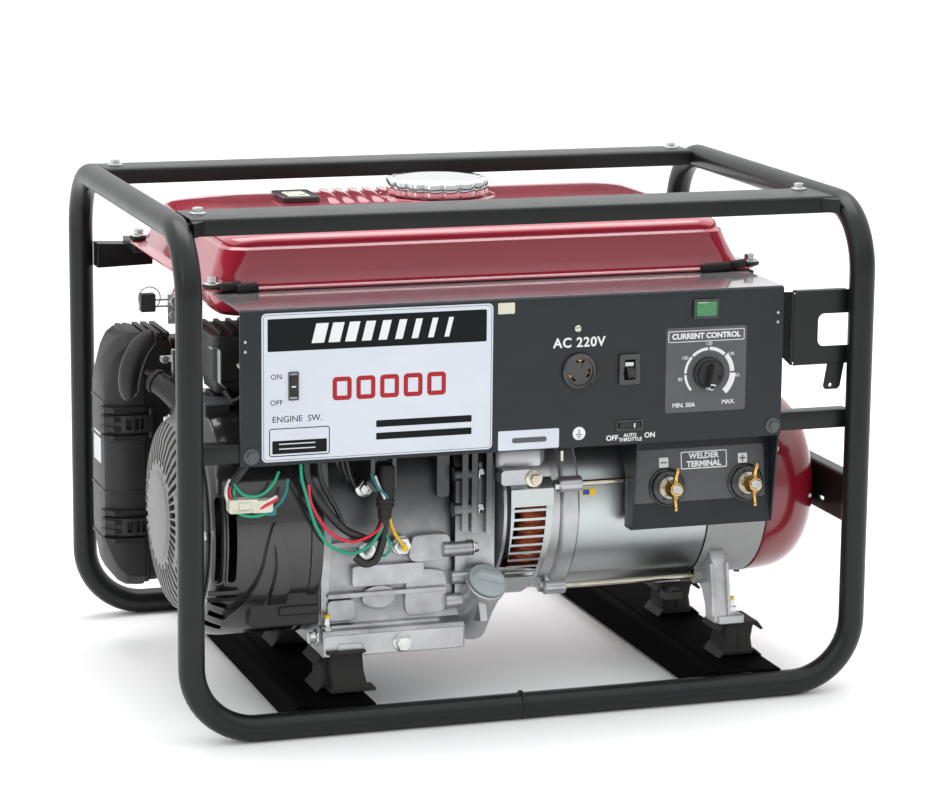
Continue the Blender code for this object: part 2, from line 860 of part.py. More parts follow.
for latch_name, latch_z in (("air_latch_upper", 262.0), ("air_latch_lower", 146.0)):
    latch_shape = [
        (AIR_SPLIT + 8, AIR_Y[0] - GAP),
        (AIR_SPLIT + 8, AIR_Y[0] - 7),
        (AIR_SPLIT - 26, AIR_Y[0] - 9),
        (AIR_OUT - 5, AIR_Y[0] - 5),
        (AIR_OUT - 6, AIR_Y[0] + 22),
        (AIR_OUT - GAP, AIR_Y[0] + 22),
        (AIR_OUT - GAP, AIR_Y[0] - GAP),
    ]
    node(
        latch_name,
        prism(latch_shape, "z", latch_z - 17, latch_z + 17),
        "plastic_black",
        (AIR_SPLIT + 6, AIR_Y[0] - 3.5, latch_z),
    )
node(
    "carburetor",
    add(
        block((-261.6, -196.0), (112.0, 158.0), (308.0, 350.0), 3.0),
        block((-215.0, -175.6), (118.0, 152.0), (312.0, 346.0), 2.0),
    ),
    "cast_aluminium",
)
LEVER_AT = (-322.0, -24.0, 417.0)
node(
    "throttle_lever",
    add(
        block((-361.0, -345.0), (-34.0, -24.0), (407.5, 427.0), 1.0),
        block((-347.0, LEVER_AT[0]), (-30.5, -27.5), (414.0, 420.0)),
        cylinder(-8, 2, 6, 14, LEVER_AT, (0, 1, 0)),
    ),
    "plastic_black",
    LEVER_AT,
)
node(
    "muffler",
    add(
        block((-140.0, 56.0), (176.0, 238.0), (232.0, 392.0), 12.0),
        sweep(bent([(-20.0, 200.0, 240.0), (-20.0, 200.0, 196.0), (-20.0, 236.0, 196.0)], 18), 13, 12),
    ),
    "steel",
)

node(
    "ignition_unit",
    add(
        block((-312.0, -226.0), (-150.0, -62.0), (346.0, 404.0), 5.0),
        block((-300.0, -232.0), (-140.0, -76.0), (AXIS_Z + SHROUD_R + RUN_GAP, 350.0), 2.0),
    ),
    "plastic_black",
)

# ---------------------------------------------------------------- fuel tank
tank_levels = [
    (412.0, -290.0, 262.0, -108.0, 170.0, 30.0),
    (430.0, -304.0, 280.0, -128.0, 190.0, 36.0),
    (TANK_FLANGE_Z[0], -308.0, 284.0, -138.0, 200.0, 38.0),
    (TANK_FLANGE_Z[0] + 0.05, *TANK_FLANGE_X, *TANK_FLANGE_Y, 26.0),
    (TANK_FLANGE_Z[1] - 0.05, *TANK_FLANGE_X, *TANK_FLANGE_Y, 26.0),
    (TANK_FLANGE_Z[1], -309.0, 281.0, -146.0, 202.0, 26.0),
    (458.0, -306.0, 275.0, -143.0, 199.0, 26.0),
    (478.0, -298.0, 266.0, -138.0, 193.0, 28.0),
    (492.0, -288.0, 259.0, -131.0, 186.0, 30.0),
    (499.0, -277.0, 253.0, -122.0, 178.0, 34.0),
    (TANK_TOP - 1, -258.0, 242.0, -104.0, 160.0, 40.0),
    (TANK_TOP, -244.0, 232.0, -94.0, 150.0, 44.0),
]
node(
    "fuel_tank",
    loft([rounded((x0, x1), (y0, y1), radius, z) for z, x0, x1, y0, y1, radius in tank_levels]),
    "tank_red",
)

cap_foot = TANK_TOP + GAP
cap_levels = [(0.0, 0.86, 0.5), (2.0, 0.95, 1.0), (16.0, 0.95, 1.0), (20.0, 0.84, 1.0), (21.5, 0.60, 0.4)]
cap_rings = []
for z, share, depth in cap_levels:
    ring = []
    for i in range(48):
        turn = math.tau * i / 48
        reach = CAP_R * share * (1 + 0.05 * depth * math.cos(8 * turn))
        ring.append((CAP_AT[0] + reach * math.cos(turn), CAP_AT[1] + reach * math.sin(turn), cap_foot + z))
    cap_rings.append(ring)
node("fuel_cap", loft(cap_rings), "chrome", (*CAP_AT, cap_foot))
node("fuel_gauge", block((-178.0, -136.0), (64.0, 126.0), (cap_foot, cap_foot + 6), 1.5), "plastic_black")

# ---------------------------------------------------------------- control panel
KNOB_AT = (194.6, 355.4)
SOCKET_AT = (50.6, 364.8)
SOCKET_R = 18.5
BREAKER_AT = (105.8, 364.0)
ENGINE_SW_AT = (-254.8, 365.1)
THROTTLE_SW_AT = (107.2, 304.6)
LAMP_AT = (190.0, 424.0)
inner = PANEL_Y + PANEL_T
front_sheet = block(PANEL_X, (PANEL_Y, inner), PANEL_Z)
top_sheet = block(PANEL_X, (inner - 1, PANEL_BACK), (PANEL_Z[1] - PANEL_T, PANEL_Z[1]))
side_x = (PANEL_X[1] - PANEL_T, PANEL_X[1])
side_sheet = block(side_x, (inner - 1, PANEL_BACK), (PANEL_Z[0] + 26, PANEL_Z[1]))
lip_x = (PANEL_X[0] + 110, PANEL_X[1] - 30)
foot_lip = block(lip_x, (inner - 1, inner + 12), (PANEL_Z[0], PANEL_Z[0] + PANEL_T))


def slab(at, wide, tall, ys):
    """A block centred on a panel point."""
    return block((at[0] - wide / 2, at[0] + wide / 2), ys, (at[1] - tall / 2, at[1] + tall / 2))


def hole(at, wide, tall):
    return slab(at, wide, tall, (PANEL_Y - 5, inner + 5))


def round_hole(at, radius):
    return cylinder(-8, 8, radius, 24, (at[0], PANEL_Y, at[1]), (0, 1, 0))


sheet = add(front_sheet, top_sheet, side_sheet, foot_lip)
sheet = cut(
    sheet,
    round_hole(KNOB_AT, 5.0),
    round_hole(SOCKET_AT, 16.5),
    hole(BREAKER_AT, 17.0, 27.0),
    hole(ENGINE_SW_AT, 9.6, 28.0),
    hole(THROTTLE_SW_AT, 28.0, 9.6),
    hole(LAMP_AT, 22.0, 16.0),
)
node("control_panel", sheet, "panel_grey")

face = PANEL_Y - GAP
knob_face = (KNOB_AT[0], face, KNOB_AT[1])
node(
    "current_knob",
    add(
        lathe([(0, 0), (0, 16.5), (-8, 15.5), (-20, 13), (-21, 0)], 28, knob_face, (0, 1, 0)),
        cylinder(-4, 14, 4, 12, knob_face, (0, 1, 0)),
    ),
    "plastic_black",
    knob_face,
)
node(
    "socket",
    lathe(
        [
            (28, 0),
            (28, 14),
            (4, 16),
            (0, 16),
            (0, SOCKET_R),
            (-4.5, SOCKET_R - 1),
            (-4.5, 13),
            (-2.5, 12.5),
            (-2.5, 0),
        ],
        32,
        (SOCKET_AT[0], face, SOCKET_AT[1]),
        (0, 1, 0),
    ),
    "plastic_black",
)
breaker = add(
    slab(BREAKER_AT, 16, 26, (face - 2, inner + 30)),
    slab(BREAKER_AT, 23, 32, (face - 3, face)),
)
node("breaker", cut(breaker, slab(BREAKER_AT, 10, 20, (face - 8, face + 12))), "plastic_black")
node(
    "breaker_toggle",
    prism(
        [
            (face + 8, BREAKER_AT[1] + 3.5),
            (face + 8, BREAKER_AT[1] - 3.5),
            (face - 9, BREAKER_AT[1] - 7.5),
            (face - 11, BREAKER_AT[1] - 4.5),
            (face - 4, BREAKER_AT[1] + 2.5),
        ],
        "x",
        BREAKER_AT[0] - 4,
        BREAKER_AT[0] + 4,
    ),
    "plastic_black",
    (BREAKER_AT[0], face + 4, BREAKER_AT[1]),
)
ROCKER = [(7, 6), (-7, 6), (-11.6, -1), (-11.6, -2), (1, -1.5), (11.4, -5), (11.8, -1)]
ROCKER_HALF = 3.9


def rocker(name, at, upright):
    if upright:
        outline = [(PANEL_Y + v, at[1] + u) for u, v in ROCKER]
        shape = prism(outline, "x", at[0] - ROCKER_HALF, at[0] + ROCKER_HALF)
    else:
        outline = [(at[0] + u, PANEL_Y + v) for u, v in ROCKER]
        shape = prism(outline, "z", at[1] - ROCKER_HALF, at[1] + ROCKER_HALF)
    node(name, shape, "plastic_black", (at[0], PANEL_Y + 4, at[1]))


rocker("engine_switch", ENGINE_SW_AT, True)
rocker("throttle_switch", THROTTLE_SW_AT, False)
node(
    "pilot_lamp",
    add(slab(LAMP_AT, 28, 20, (face - 3, face)), slab(LAMP_AT, 21, 15, (face - 1, inner + 18))),
    "lamp_green",
)

# ---------------------------------------------------------------- terminal box
term_top = PANEL_Z[0] - GAP
outer = [
    (PANEL_Y + 1, term_top),
    (TERM_FACE_FOOT - 1, TERM_FOOT),
    (-221.0, TERM_FOOT),
    (-221.0, 246.0),
    (-194.0, term_top),
]
front_recess = prism(
    [
        (PANEL_Y - 20, term_top + 5),
        (PANEL_Y - 20, TERM_FOOT - 5),
        (TERM_FACE_FOOT - 1.6, TERM_FOOT - 5),
        (TERM_FACE_FOOT - 0.6, TERM_FOOT),
        (TERM_FACE_TOP, term_top - 2),
        (TERM_FACE_TOP, term_top + 5),
    ],
    "x",
    TERM_X[0] + PANEL_T,
    TERM_X[1] - PANEL_T,
)
back_hollow = prism(
    [
        (TERM_FACE_FOOT + 3, TERM_FOOT + PANEL_T),
        (TERM_FACE_TOP + 3, term_top - PANEL_T),
        (-180.0, term_top - PANEL_T),
        (-180.0, TERM_FOOT + PANEL_T),
    ],
    "x",
    TERM_X[0] + PANEL_T,
    TERM_X[1] - PANEL_T,
)
node("terminal_box", cut(prism(outer, "x", *TERM_X), front_recess, back_hollow), "panel_grey")

face_tall = term_top - TERM_FOOT
slope = math.atan2(TERM_FACE_TOP - TERM_FACE_FOOT, face_tall)
POST_OUT = Vector((0, -math.cos(slope), math.sin(slope)))
POST_FACE_Y = TERM_FACE_TOP + (TERM_FACE_FOOT - TERM_FACE_TOP) * (term_top - POST_Z) / face_tall
for pole, x in zip(("negative", "positive"), POST_X):
    at = Vector((x, POST_FACE_Y, POST_Z)) + POST_OUT * 1.0
    node(
        f"terminal_post_{pole}",
        lathe(
            [
                (0, 0),
                (0, 20),
                (8, 20),
                (10, 18.5),
                (10, 12),
                (12, 12),
                (12, 9),
                (18.5, 9),
                (18.5, STUD_R),
                (33, STUD_R),
                (33.5, 0),
            ],
            24,
            at,
            POST_OUT,
        ),
        "brass",
    )
    across = Vector((1, 0, 0))
    up = across.cross(POST_OUT).normalized()
    if up.z < 0:
        up = -up
    outline = [(6.0, -3.5), (22.0, -1.5), (23.0, 4.0), (21.0, 6.5), (17.0, 6.5), (12.0, 2.5), (6.0, 4.0)]
    wings = []
    for way in (1, -1):
        rings = [
            [at + up * way * u + POST_OUT * (23.5 + v) + across * shift for u, v in outline]
            for shift in (-2.2, 2.2)
        ]
        wings.append(loft(rings))
    hub = lathe([(19, 0), (19, 8.5), (29, 7), (29, 0)], 20, at, POST_OUT)
    thread = cylinder(10, 40, STUD_R + GAP, 20, at, POST_OUT)
    node(f"wing_nut_{pole}", cut(add(hub, *wings), thread), "brass", at + POST_OUT * 24)

# ---------------------------------------------------------------- wiring
harness = bent(
    [
        (-240.0, -248.0, 330.0),
        (-240.0, -248.0, 284.0),
        (-222.0, -247.5, 236.0),
        (-180.0, -236.0, 200.0),
        (-157.0, -228.0, 172.0),
        (-148.0, -226.0, 215.0),
        (-146.0, -224.0, 330.0),
    ],
    14,
    4,
)
node("wire_harness", sweep(harness, 4.5, 10), "rubber")
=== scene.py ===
import math

import bmesh
import bpy
from mathutils import Matrix, Vector


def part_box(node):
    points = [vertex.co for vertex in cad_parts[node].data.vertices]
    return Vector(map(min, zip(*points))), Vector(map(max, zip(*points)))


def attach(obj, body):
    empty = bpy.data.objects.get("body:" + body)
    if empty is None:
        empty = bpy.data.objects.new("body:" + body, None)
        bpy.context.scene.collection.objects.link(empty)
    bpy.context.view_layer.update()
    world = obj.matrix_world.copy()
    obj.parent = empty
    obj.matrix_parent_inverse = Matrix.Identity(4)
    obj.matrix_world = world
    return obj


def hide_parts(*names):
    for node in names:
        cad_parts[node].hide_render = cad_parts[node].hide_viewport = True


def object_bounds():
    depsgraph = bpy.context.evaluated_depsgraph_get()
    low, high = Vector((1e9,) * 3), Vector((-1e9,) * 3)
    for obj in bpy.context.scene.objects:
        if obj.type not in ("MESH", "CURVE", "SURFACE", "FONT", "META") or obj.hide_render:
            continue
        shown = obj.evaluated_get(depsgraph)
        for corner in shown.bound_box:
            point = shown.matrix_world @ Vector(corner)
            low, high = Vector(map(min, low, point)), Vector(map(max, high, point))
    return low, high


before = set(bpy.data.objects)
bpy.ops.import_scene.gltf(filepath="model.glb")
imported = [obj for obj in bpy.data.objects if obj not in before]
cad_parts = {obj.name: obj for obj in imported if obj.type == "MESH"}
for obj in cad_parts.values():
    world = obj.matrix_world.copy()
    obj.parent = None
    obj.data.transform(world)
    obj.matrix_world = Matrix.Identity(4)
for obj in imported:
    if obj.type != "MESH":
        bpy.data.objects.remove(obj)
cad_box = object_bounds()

# Tables and outlines below are in millimetres in the frame's axes: X to the alternator end, -Y to the
# control panel, Z up. Bare points are worked from the frame's nodes where a piece has to meet them.
MM = 0.001
CHASSIS = "chassis"
ALONG_X = (1, 0, 0)
ALONG_Y = (0, 1, 0)
ALONG_Z = (0, 0, 1)
TO_FRONT = (0, -1, 0)
TO_LEFT = (-1, 0, 0)


def box_of(node):
    """A node's lowest and highest corners in millimetres."""
    low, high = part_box(node)
    return low / MM, high / MM


# ---------------------------------------------------------------- materials
def shade(name, colour, rough, metal=0.0, vary=0.12, mottle=35.0, grain=1400.0, bump=0.08, **more):
    """A Principled material whose colour, roughness and surface vary with noise in the frame's metres, and
    whose colour can take painted shade that darkens it with height.
    """
    made = bpy.data.materials.new(name)
    made.use_nodes = True
    nodes, links = made.node_tree.nodes, made.node_tree.links
    shader = nodes["Principled BSDF"]
    shader.inputs["Metallic"].default_value = metal
    shader.inputs["Coat Weight"].default_value = more.get("coat", 0.0)
    shader.inputs["Coat Roughness"].default_value = more.get("coat_rough", 0.06)
    shader.inputs["Specular IOR Level"].default_value = more.get("specular", 0.5)
    place = nodes.new("ShaderNodeTexCoord")
    stretch = nodes.new("ShaderNodeMapping")
    stretch.inputs["Scale"].default_value = more.get("stretch", (1, 1, 1))
    links.new(place.outputs["Object"], stretch.inputs["Vector"])

    def noise(scale, detail):
        made_noise = nodes.new("ShaderNodeTexNoise")
        made_noise.inputs["Scale"].default_value = scale
        made_noise.inputs["Detail"].default_value = detail
        links.new(stretch.outputs["Vector"], made_noise.inputs["Vector"])
        return made_noise.outputs["Fac"]

    cloud = noise(mottle, 5)
    fine = noise(grain, 2)
    tint = nodes.new("ShaderNodeMix")
    tint.data_type = "RGBA"
    other = more.get("other", [c * (1 + vary) for c in colour])
    tint.inputs["A"].default_value = (*[c * (1 - vary) for c in colour], 1)
    tint.inputs["B"].default_value = (*other, 1)
    contrast = nodes.new("ShaderNodeMapRange")
    contrast.inputs["From Min"].default_value = 0.3
    contrast.inputs["From Max"].default_value = 0.7
    links.new(cloud, contrast.inputs["Value"])
    links.new(contrast.outputs["Result"], tint.inputs["Factor"])
    paint = tint.outputs["Result"]
    # Optional painted shade: between two heights the colour fades towards near black, darkest at the higher
    # one, standing in for shadow.
    if "grime" in more:
        low, high, share = more["grime"]
        height = nodes.new("ShaderNodeSeparateXYZ")
        links.new(place.outputs["Object"], height.inputs["Vector"])
        shade_ramp = nodes.new("ShaderNodeMapRange")
        shade_ramp.interpolation_type = "SMOOTHSTEP"
        for name, value in (("From Min", low), ("From Max", high), ("To Min", 0.0), ("To Max", share)):
            shade_ramp.inputs[name].default_value = value
        links.new(height.outputs["Z"], shade_ramp.inputs["Value"])
        shaded_paint = nodes.new("ShaderNodeMix")
        shaded_paint.data_type = "RGBA"
        shaded_paint.inputs["B"].default_value = (*[c * 0.06 for c in colour], 1)
        links.new(shade_ramp.outputs["Result"], shaded_paint.inputs["Factor"])
        links.new(paint, shaded_paint.inputs["A"])
        paint = shaded_paint.outputs["Result"]
    links.new(paint, shader.inputs["Base Color"])
    spread = nodes.new("ShaderNodeMapRange")
    rough_vary = more.get("rough_vary", 0.06)
    spread.inputs["To Min"].default_value = max(rough - rough_vary, 0.02)
    spread.inputs["To Max"].default_value = rough + rough_vary
    links.new(fine if more.get("rough_fine") else cloud, spread.inputs["Value"])
    links.new(spread.outputs["Result"], shader.inputs["Roughness"])
    if bump:
        relief = nodes.new("ShaderNodeBump")
        relief.inputs["Strength"].default_value = bump
        relief.inputs["Distance"].default_value = more.get("depth", 0.0003)
        links.new(fine, relief.inputs["Height"])
        links.new(relief.outputs["Normal"], shader.inputs["Normal"])
    return made


ENAMEL = shade("frame_enamel", (0.0065, 0.0072, 0.0076), 0.33, vary=0.15, grain=500, bump=0.05, specular=0.34)
# The cross members take a darker, dull copy of the frame enamel: painted shade for where they lie under the
# engine.
SHADED_ENAMEL = shade("shaded_copy_enamel", (0.0022, 0.0022, 0.0022), 0.80, vary=0.15, grain=500, bump=0.05, specular=0.02)
PANEL = shade("panel_paint", (0.0115, 0.0165, 0.0200), 0.36, vary=0.10, grain=1500, bump=0.14, specular=0.36)
# The panel's top is the same dark paint as its face; this pale glossy colour is a painted reflection of the
# overhead light.
PANEL_TOP_REFLECTION = shade("panel_top_painted_reflection", (0.400, 0.370, 0.390), 0.22, vary=0.06, grain=1500, bump=0.05, coat=1.0,
                  specular=0.9)
TANK = shade("tank_paint", (0.43, 0.020, 0.046), 0.20, vary=0.05, mottle=9, grain=260, bump=0.008, coat=1.0)
RED = shade(
    "cover_paint", (0.200, 0.0045, 0.0120), 0.24, vary=0.07, mottle=9, grain=260, bump=0.010, coat=0.8,
)
CAST = shade(
    "cast_aluminium", (0.48, 0.49, 0.505), 0.34, metal=0.85, vary=0.18, mottle=26, grain=650, bump=0.30,
    depth=0.0005, rough_vary=0.12,
)
# The crankcase casting's colour darkens towards its top: painted shade for the shadow under the control
# panel.
CASE = shade(
    "case_casting", (0.40, 0.41, 0.425), 0.34, metal=0.90, vary=0.30, mottle=30, grain=650, bump=0.35,
    depth=0.0006, rough_vary=0.14, grime=(0.160, 0.235, 0.86),
)
FOOT = shade("foot_casting", (0.50, 0.51, 0.52), 0.42, metal=0.75, vary=0.20, mottle=40, grain=650, bump=0.35,
             depth=0.0006)
ZINC_SHEET = shade(
    "zinc_sheet", (0.50, 0.535, 0.535), 0.33, metal=1.0, vary=0.03, mottle=30, grain=900, bump=0.02,
    rough_vary=0.02,
)
ZINC = shade("zinc_plate", (0.62, 0.64, 0.63), 0.26, metal=1.0, vary=0.12, mottle=90, grain=800, bump=0.05)
ROD = shade("yellow_zinc", (0.58, 0.54, 0.44), 0.24, metal=1.0, vary=0.15, mottle=70, bump=0.03)
BAND = shade("band_paint", (0.34, 0.345, 0.34), 0.46, metal=0.25, vary=0.06, grain=1500, bump=0.15)
BLACK = shade(
    "moulded_black", (0.0105, 0.0105, 0.0100), 0.47, vary=0.15, grain=1300, bump=0.20, specular=0.45,
)
GLOSS = shade("gloss_black", (0.0170, 0.0170, 0.0170), 0.22, vary=0.10, grain=300, bump=0.02, coat=0.6)
RUBBER = shade("mount_rubber", (0.0200, 0.0185, 0.0175), 0.60, vary=0.20, grain=900, bump=0.25, specular=0.3)
SILVER = shade("recoil_paint", (0.165, 0.165, 0.160), 0.44, metal=0.35, vary=0.05, grain=1600, bump=0.10)
DISC = shade("disc_paint", (0.120, 0.120, 0.117), 0.46, vary=0.05, grain=1600, bump=0.08)
IRON = shade("dark_iron", (0.055, 0.055, 0.057), 0.55, metal=0.7, vary=0.25, grain=700, bump=0.3)
STEEL = shade("turned_steel", (0.48, 0.48, 0.48), 0.30, metal=1.0, vary=0.1, grain=900, bump=0.06)
HOT = shade(
    "muffler_steel", (0.30, 0.28, 0.26), 0.42, metal=0.9, vary=0.2, mottle=18, grain=700, bump=0.12,
    other=(0.36, 0.30, 0.24),
)
COPPER = shade(
    "winding_wire", (0.34, 0.060, 0.018), 0.38, metal=0.4, vary=0.35, mottle=220, grain=600, bump=0.9,
    depth=0.0010, stretch=(1, 0.3, 0.3),
)
CHROME = shade(
    "bright_chrome", (0.78, 0.79, 0.80), 0.07, metal=1.0, vary=0.03, grain=500, bump=0.015, rough_vary=0.02,
)
BRASS = shade(
    "turned_brass", (0.66, 0.41, 0.12), 0.20, metal=1.0, vary=0.12, mottle=120, grain=900, bump=0.05,
)
CAP = shade("oil_cap_plastic", (0.33, 0.365, 0.385), 0.42, vary=0.05, grain=1300, bump=0.10)
PLATE = shade(
    "plate_white", (0.60, 0.635, 0.70), 0.36, metal=0.15, vary=0.04, mottle=14, grain=1500, bump=0.04,
)
GREY_PLATE = shade("plate_grey", (0.075, 0.078, 0.088), 0.40, vary=0.06, grain=1500, bump=0.06)
INK = shade("black_ink", (0.006, 0.009, 0.009), 0.50, vary=0.1, bump=0.03, specular=0.12)
MARK = shade("mark_red", (0.36, 0.010, 0.016), 0.40, vary=0.05, bump=0.02, specular=0.3)
WHITE = shade("white_ink", (0.72, 0.74, 0.75), 0.45, vary=0.03, bump=0.02)
PALE = shade("pale_label", (0.56, 0.57, 0.585), 0.42, vary=0.05, grain=900, bump=0.03)
YELLOW = shade("yellow_mark", (0.80, 0.56, 0.01), 0.45, vary=0.1, mottle=300, bump=0.05)
BLUE = shade("blue_mark", (0.02, 0.06, 0.42), 0.45, vary=0.1, mottle=300, bump=0.05)
LENS = shade("green_lens", (0.004, 0.165, 0.035), 0.10, vary=0.35, mottle=300, bump=0.0, coat=1.0)
NYLON = shade("natural_nylon", (0.62, 0.60, 0.49), 0.38, vary=0.06, bump=0.05)
AMBER = shade("copper_contact", (0.75, 0.28, 0.05), 0.25, metal=1.0, vary=0.1, bump=0.03)
PALE_RED = shade("pale_red_shell", (0.35, 0.11, 0.11), 0.35, vary=0.05, bump=0.03)
SLEEVE = shade("black_sleeve", (0.012, 0.012, 0.012), 0.35, vary=0.2, mottle=500, grain=900, bump=0.25)


def wire_paint(name, colour):
    """Glossy wire insulation in one colour."""
    return shade(name, colour, 0.33, vary=0.08, mottle=200, bump=0.04)


GREEN_WIRE = wire_paint("green_wire", (0.0, 0.30, 0.17))
TEAL_WIRE = wire_paint("teal_wire", (0.005, 0.17, 0.17))
RED_WIRE = wire_paint("red_wire", (0.62, 0.012, 0.035))
YELLOW_WIRE = wire_paint("yellow_wire", (0.78, 0.48, 0.02))
WHITE_WIRE = wire_paint("white_wire", (0.66, 0.66, 0.64))


# ---------------------------------------------------------------- shapes
def arc(centre, radius, start, end, steps=6):
    """Points of a circular arc between two angles in degrees."""
    turns = [math.radians(start + (end - start) * i / steps) for i in range(steps + 1)]
    return [(centre[0] + radius * math.cos(t), centre[1] + radius * math.sin(t)) for t in turns]


def soft_box(us, vs, radius, steps=5):
    """The outline of a rectangle with round corners."""
    return [
        *arc((us[1] - radius, vs[1] - radius), radius, 0, 90, steps),
        *arc((us[0] + radius, vs[1] - radius), radius, 90, 180, steps),
        *arc((us[0] + radius, vs[0] + radius), radius, 180, 270, steps),
        *arc((us[1] - radius, vs[0] + radius), radius, 270, 360, steps),
    ]


def loft(rings):
    """A solid through rings of equal count."""
    shape = bmesh.new()
    made = [[shape.verts.new(point) for point in ring] for ring in rings]
    count = len(rings[0])
    for low, high in zip(made, made[1:]):
        for i in range(count):
            j = (i + 1) % count
            shape.faces.new((low[i], low[j], high[j], high[i]))
    shape.faces.new(list(reversed(made[0])))
    shape.faces.new(made[-1])
    return shape


def prism(outline, along, start, end):
    """A solid with this outline. Along x the outline is (y, z), along y (x, z) and along z (x, y)."""
    place = {
        "x": lambda u, v, w: (w, u, v),
        "y": lambda u, v, w: (u, w, v),
        "z": lambda u, v, w: (u, v, w),
    }[along]
    return loft([[place(u, v, w) for u, v in outline] for w in (start, end)])


def block(xs, ys, zs):
    """A plain box between two corners."""
    return prism([(xs[0], ys[0]), (xs[1], ys[0]), (xs[1], ys[1]), (xs[0], ys[1])], "z", *zs)


def frame_of(along):
    """Two directions square to the axis."""
    axis = Vector(along).normalized()
    side = Vector(ALONG_Y) if abs(axis.x) > 0.99 else axis.orthogonal().normalized()
    return axis, side, axis.cross(side)


def lathe(profile, count=48, at=(0, 0, 0), along=ALONG_X, lobes=None):
    """Spin a closed profile of (distance along the axis, radius) pairs. A radius of 0 is on the axis."""
    axis, side, other = frame_of(along)
    shape = bmesh.new()
    rings = []
    for far, radius in profile:
        middle = Vector(at) + axis * far
        if radius == 0:
            rings.append([shape.verts.new(middle)])
            continue
        ring = []
        for i in range(count):
            turn = math.tau * i / count
            swell = lobes(turn) if lobes else 1
            ring.append(
                shape.verts.new(middle + (side * math.cos(turn) + other * math.sin(turn)) * radius * swell)
            )
        rings.append(ring)
    for low, high in zip(rings, rings[1:] + rings[:1]):
        for i in range(count):
            j = (i + 1) % count
            corners = [low[i % len(low)], low[j % len(low)], high[j % len(high)], high[i % len(high)]]
            corners = list(dict.fromkeys(corners))
            if len(corners) > 2:
                shape.faces.new(corners)
    return shape


def rod(start, end, radius, count=48, at=(0, 0, 0), along=ALONG_X):
    """A plain round bar between two distances along the axis."""
    return lathe([(start, 0), (start, radius), (end, radius), (end, 0)], count, at, along)


def bent(points, radius, steps=8):
    """A path through the points with its corners rounded."""
    path = [Vector(points[0])]
    for before, corner, after in zip(points, points[1:], points[2:]):
        corner = Vector(corner)
        back = (Vector(before) - corner).normalized()
        on = (Vector(after) - corner).normalized()
        half = back.angle(on) / 2
        centre = corner + (back + on).normalized() * (radius / math.sin(half))
        first = corner + back * (radius / math.tan(half)) - centre
        last = corner + on * (radius / math.tan(half)) - centre
        swing = first.angle(last)
        for i in range(steps + 1):
            share = i / steps
            start = math.sin((1 - share) * swing) / math.sin(swing)
            path.append(centre + first * start + last * (math.sin(share * swing) / math.sin(swing)))
    path.append(Vector(points[-1]))
    return path


def flowing(points, steps=8):
    """A smooth path through all the points."""
    known = [Vector(p) for p in points]
    known = [known[0] * 2 - known[1], *known, known[-1] * 2 - known[-2]]
    path = []
    for a, b, c, d in zip(known, known[1:], known[2:], known[3:]):
        for i in range(steps):
            t = i / steps
            path.append(
                0.5
                * (
                    2 * b
                    + (c - a) * t
                    + (2 * a - 5 * b + 4 * c - d) * t * t
                    + (3 * b - a - 3 * c + d) * t**3
                )
            )
    path.append(known[-2])
    return path


def tube(path, radii, count=16):
    """A round bar along a path, with one radius or one for each point."""
    if not isinstance(radii, (list, tuple)):
        radii = [radii] * len(path)
    path = [Vector(point) for point in path]
    side = (path[1] - path[0]).orthogonal().normalized()
    rings = []
    for i, point in enumerate(path):
        ahead = (path[min(i + 1, len(path) - 1)] - path[max(i - 1, 0)]).normalized()
        side = (side - ahead * side.dot(ahead)).normalized()
        other = ahead.cross(side)
        turns = [math.tau * k / count for k in range(count)]
        rings.append([point + (side * math.cos(t) + other * math.sin(t)) * radii[i] for t in turns])
    return loft(rings)


def merged(*shapes):
    """All the shapes as one mesh of separate closed bodies."""
    whole = bmesh.new()
    for shape in shapes:
        bmesh.ops.recalc_face_normals(shape, faces=shape.faces[:])
        held = bpy.data.meshes.new("held")
        shape.to_mesh(held)
        shape.free()
        whole.from_mesh(held)
        bpy.data.meshes.remove(held)
    return whole


def moved(shape, matrix):
    """The shape after the matrix has moved it."""
    bmesh.ops.transform(shape, matrix=matrix, verts=shape.verts[:])
    return shape


def turned(shape, degrees, axis, centre):
    """The shape turned by these degrees about an axis through the centre."""
    centre = Vector(centre)
    spin = Matrix.Translation(centre) @ Matrix.Rotation(
        math.radians(degrees), 4, axis,
    ) @ Matrix.Translation(-centre)
    return moved(shape, spin)


def object_from(name, shape):
    """An object in the scene from a shape drawn in millimetres."""
    bmesh.ops.recalc_face_normals(shape, faces=shape.faces[:])
    bmesh.ops.scale(shape, vec=(MM, MM, MM), verts=shape.verts[:])
    mesh = bpy.data.meshes.new(name)
    shape.to_mesh(mesh)
    shape.free()
    made = bpy.data.objects.new(name, mesh)
    bpy.context.scene.collection.objects.link(made)
    return made


def combined(base, tools, how):
    """The base with the tools added to it or cut from it."""
    held = object_from("base", base)
    spent = [held]
    for tool in tools:
        helper = object_from("tool", tool)
        spent.append(helper)
        step = held.modifiers.new("step", "BOOLEAN")
        step.operation = how
        step.solver = "EXACT"
        step.object = helper
    graph = bpy.context.evaluated_depsgraph_get()
    graph.update()
    result = bmesh.new()
    result.from_object(held, graph)
    bmesh.ops.scale(result, vec=(1 / MM, 1 / MM, 1 / MM), verts=result.verts[:])
    bmesh.ops.remove_doubles(result, verts=result.verts[:], dist=0.001)
    for done in spent:
        bpy.data.objects.remove(done)
    return result


def cut(base, *tools):
    """The base with all the tools taken away from it."""
    return combined(base, [merged(*tools)], "DIFFERENCE")


def piece(name, shape, paint, body=CHASSIS, edge=0.0, steps=2, angle=30, nodes=()):
    """A finished piece: rounded edges, smooth shading, its material and the body it rides on."""
    made = object_from(name, shape)
    made.data.materials.append(paint)
    if edge:
        rounding = made.modifiers.new("rounding", "BEVEL")
        rounding.width = edge * MM
        rounding.segments = steps
        rounding.limit_method = "ANGLE"
        rounding.angle_limit = math.radians(angle)
        rounding.harden_normals = False
    made.data.shade_smooth()
    made.data.set_sharp_from_angle(angle=math.radians(angle + 8))
    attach(made, body)
    if nodes:
        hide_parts(*nodes)
    return made


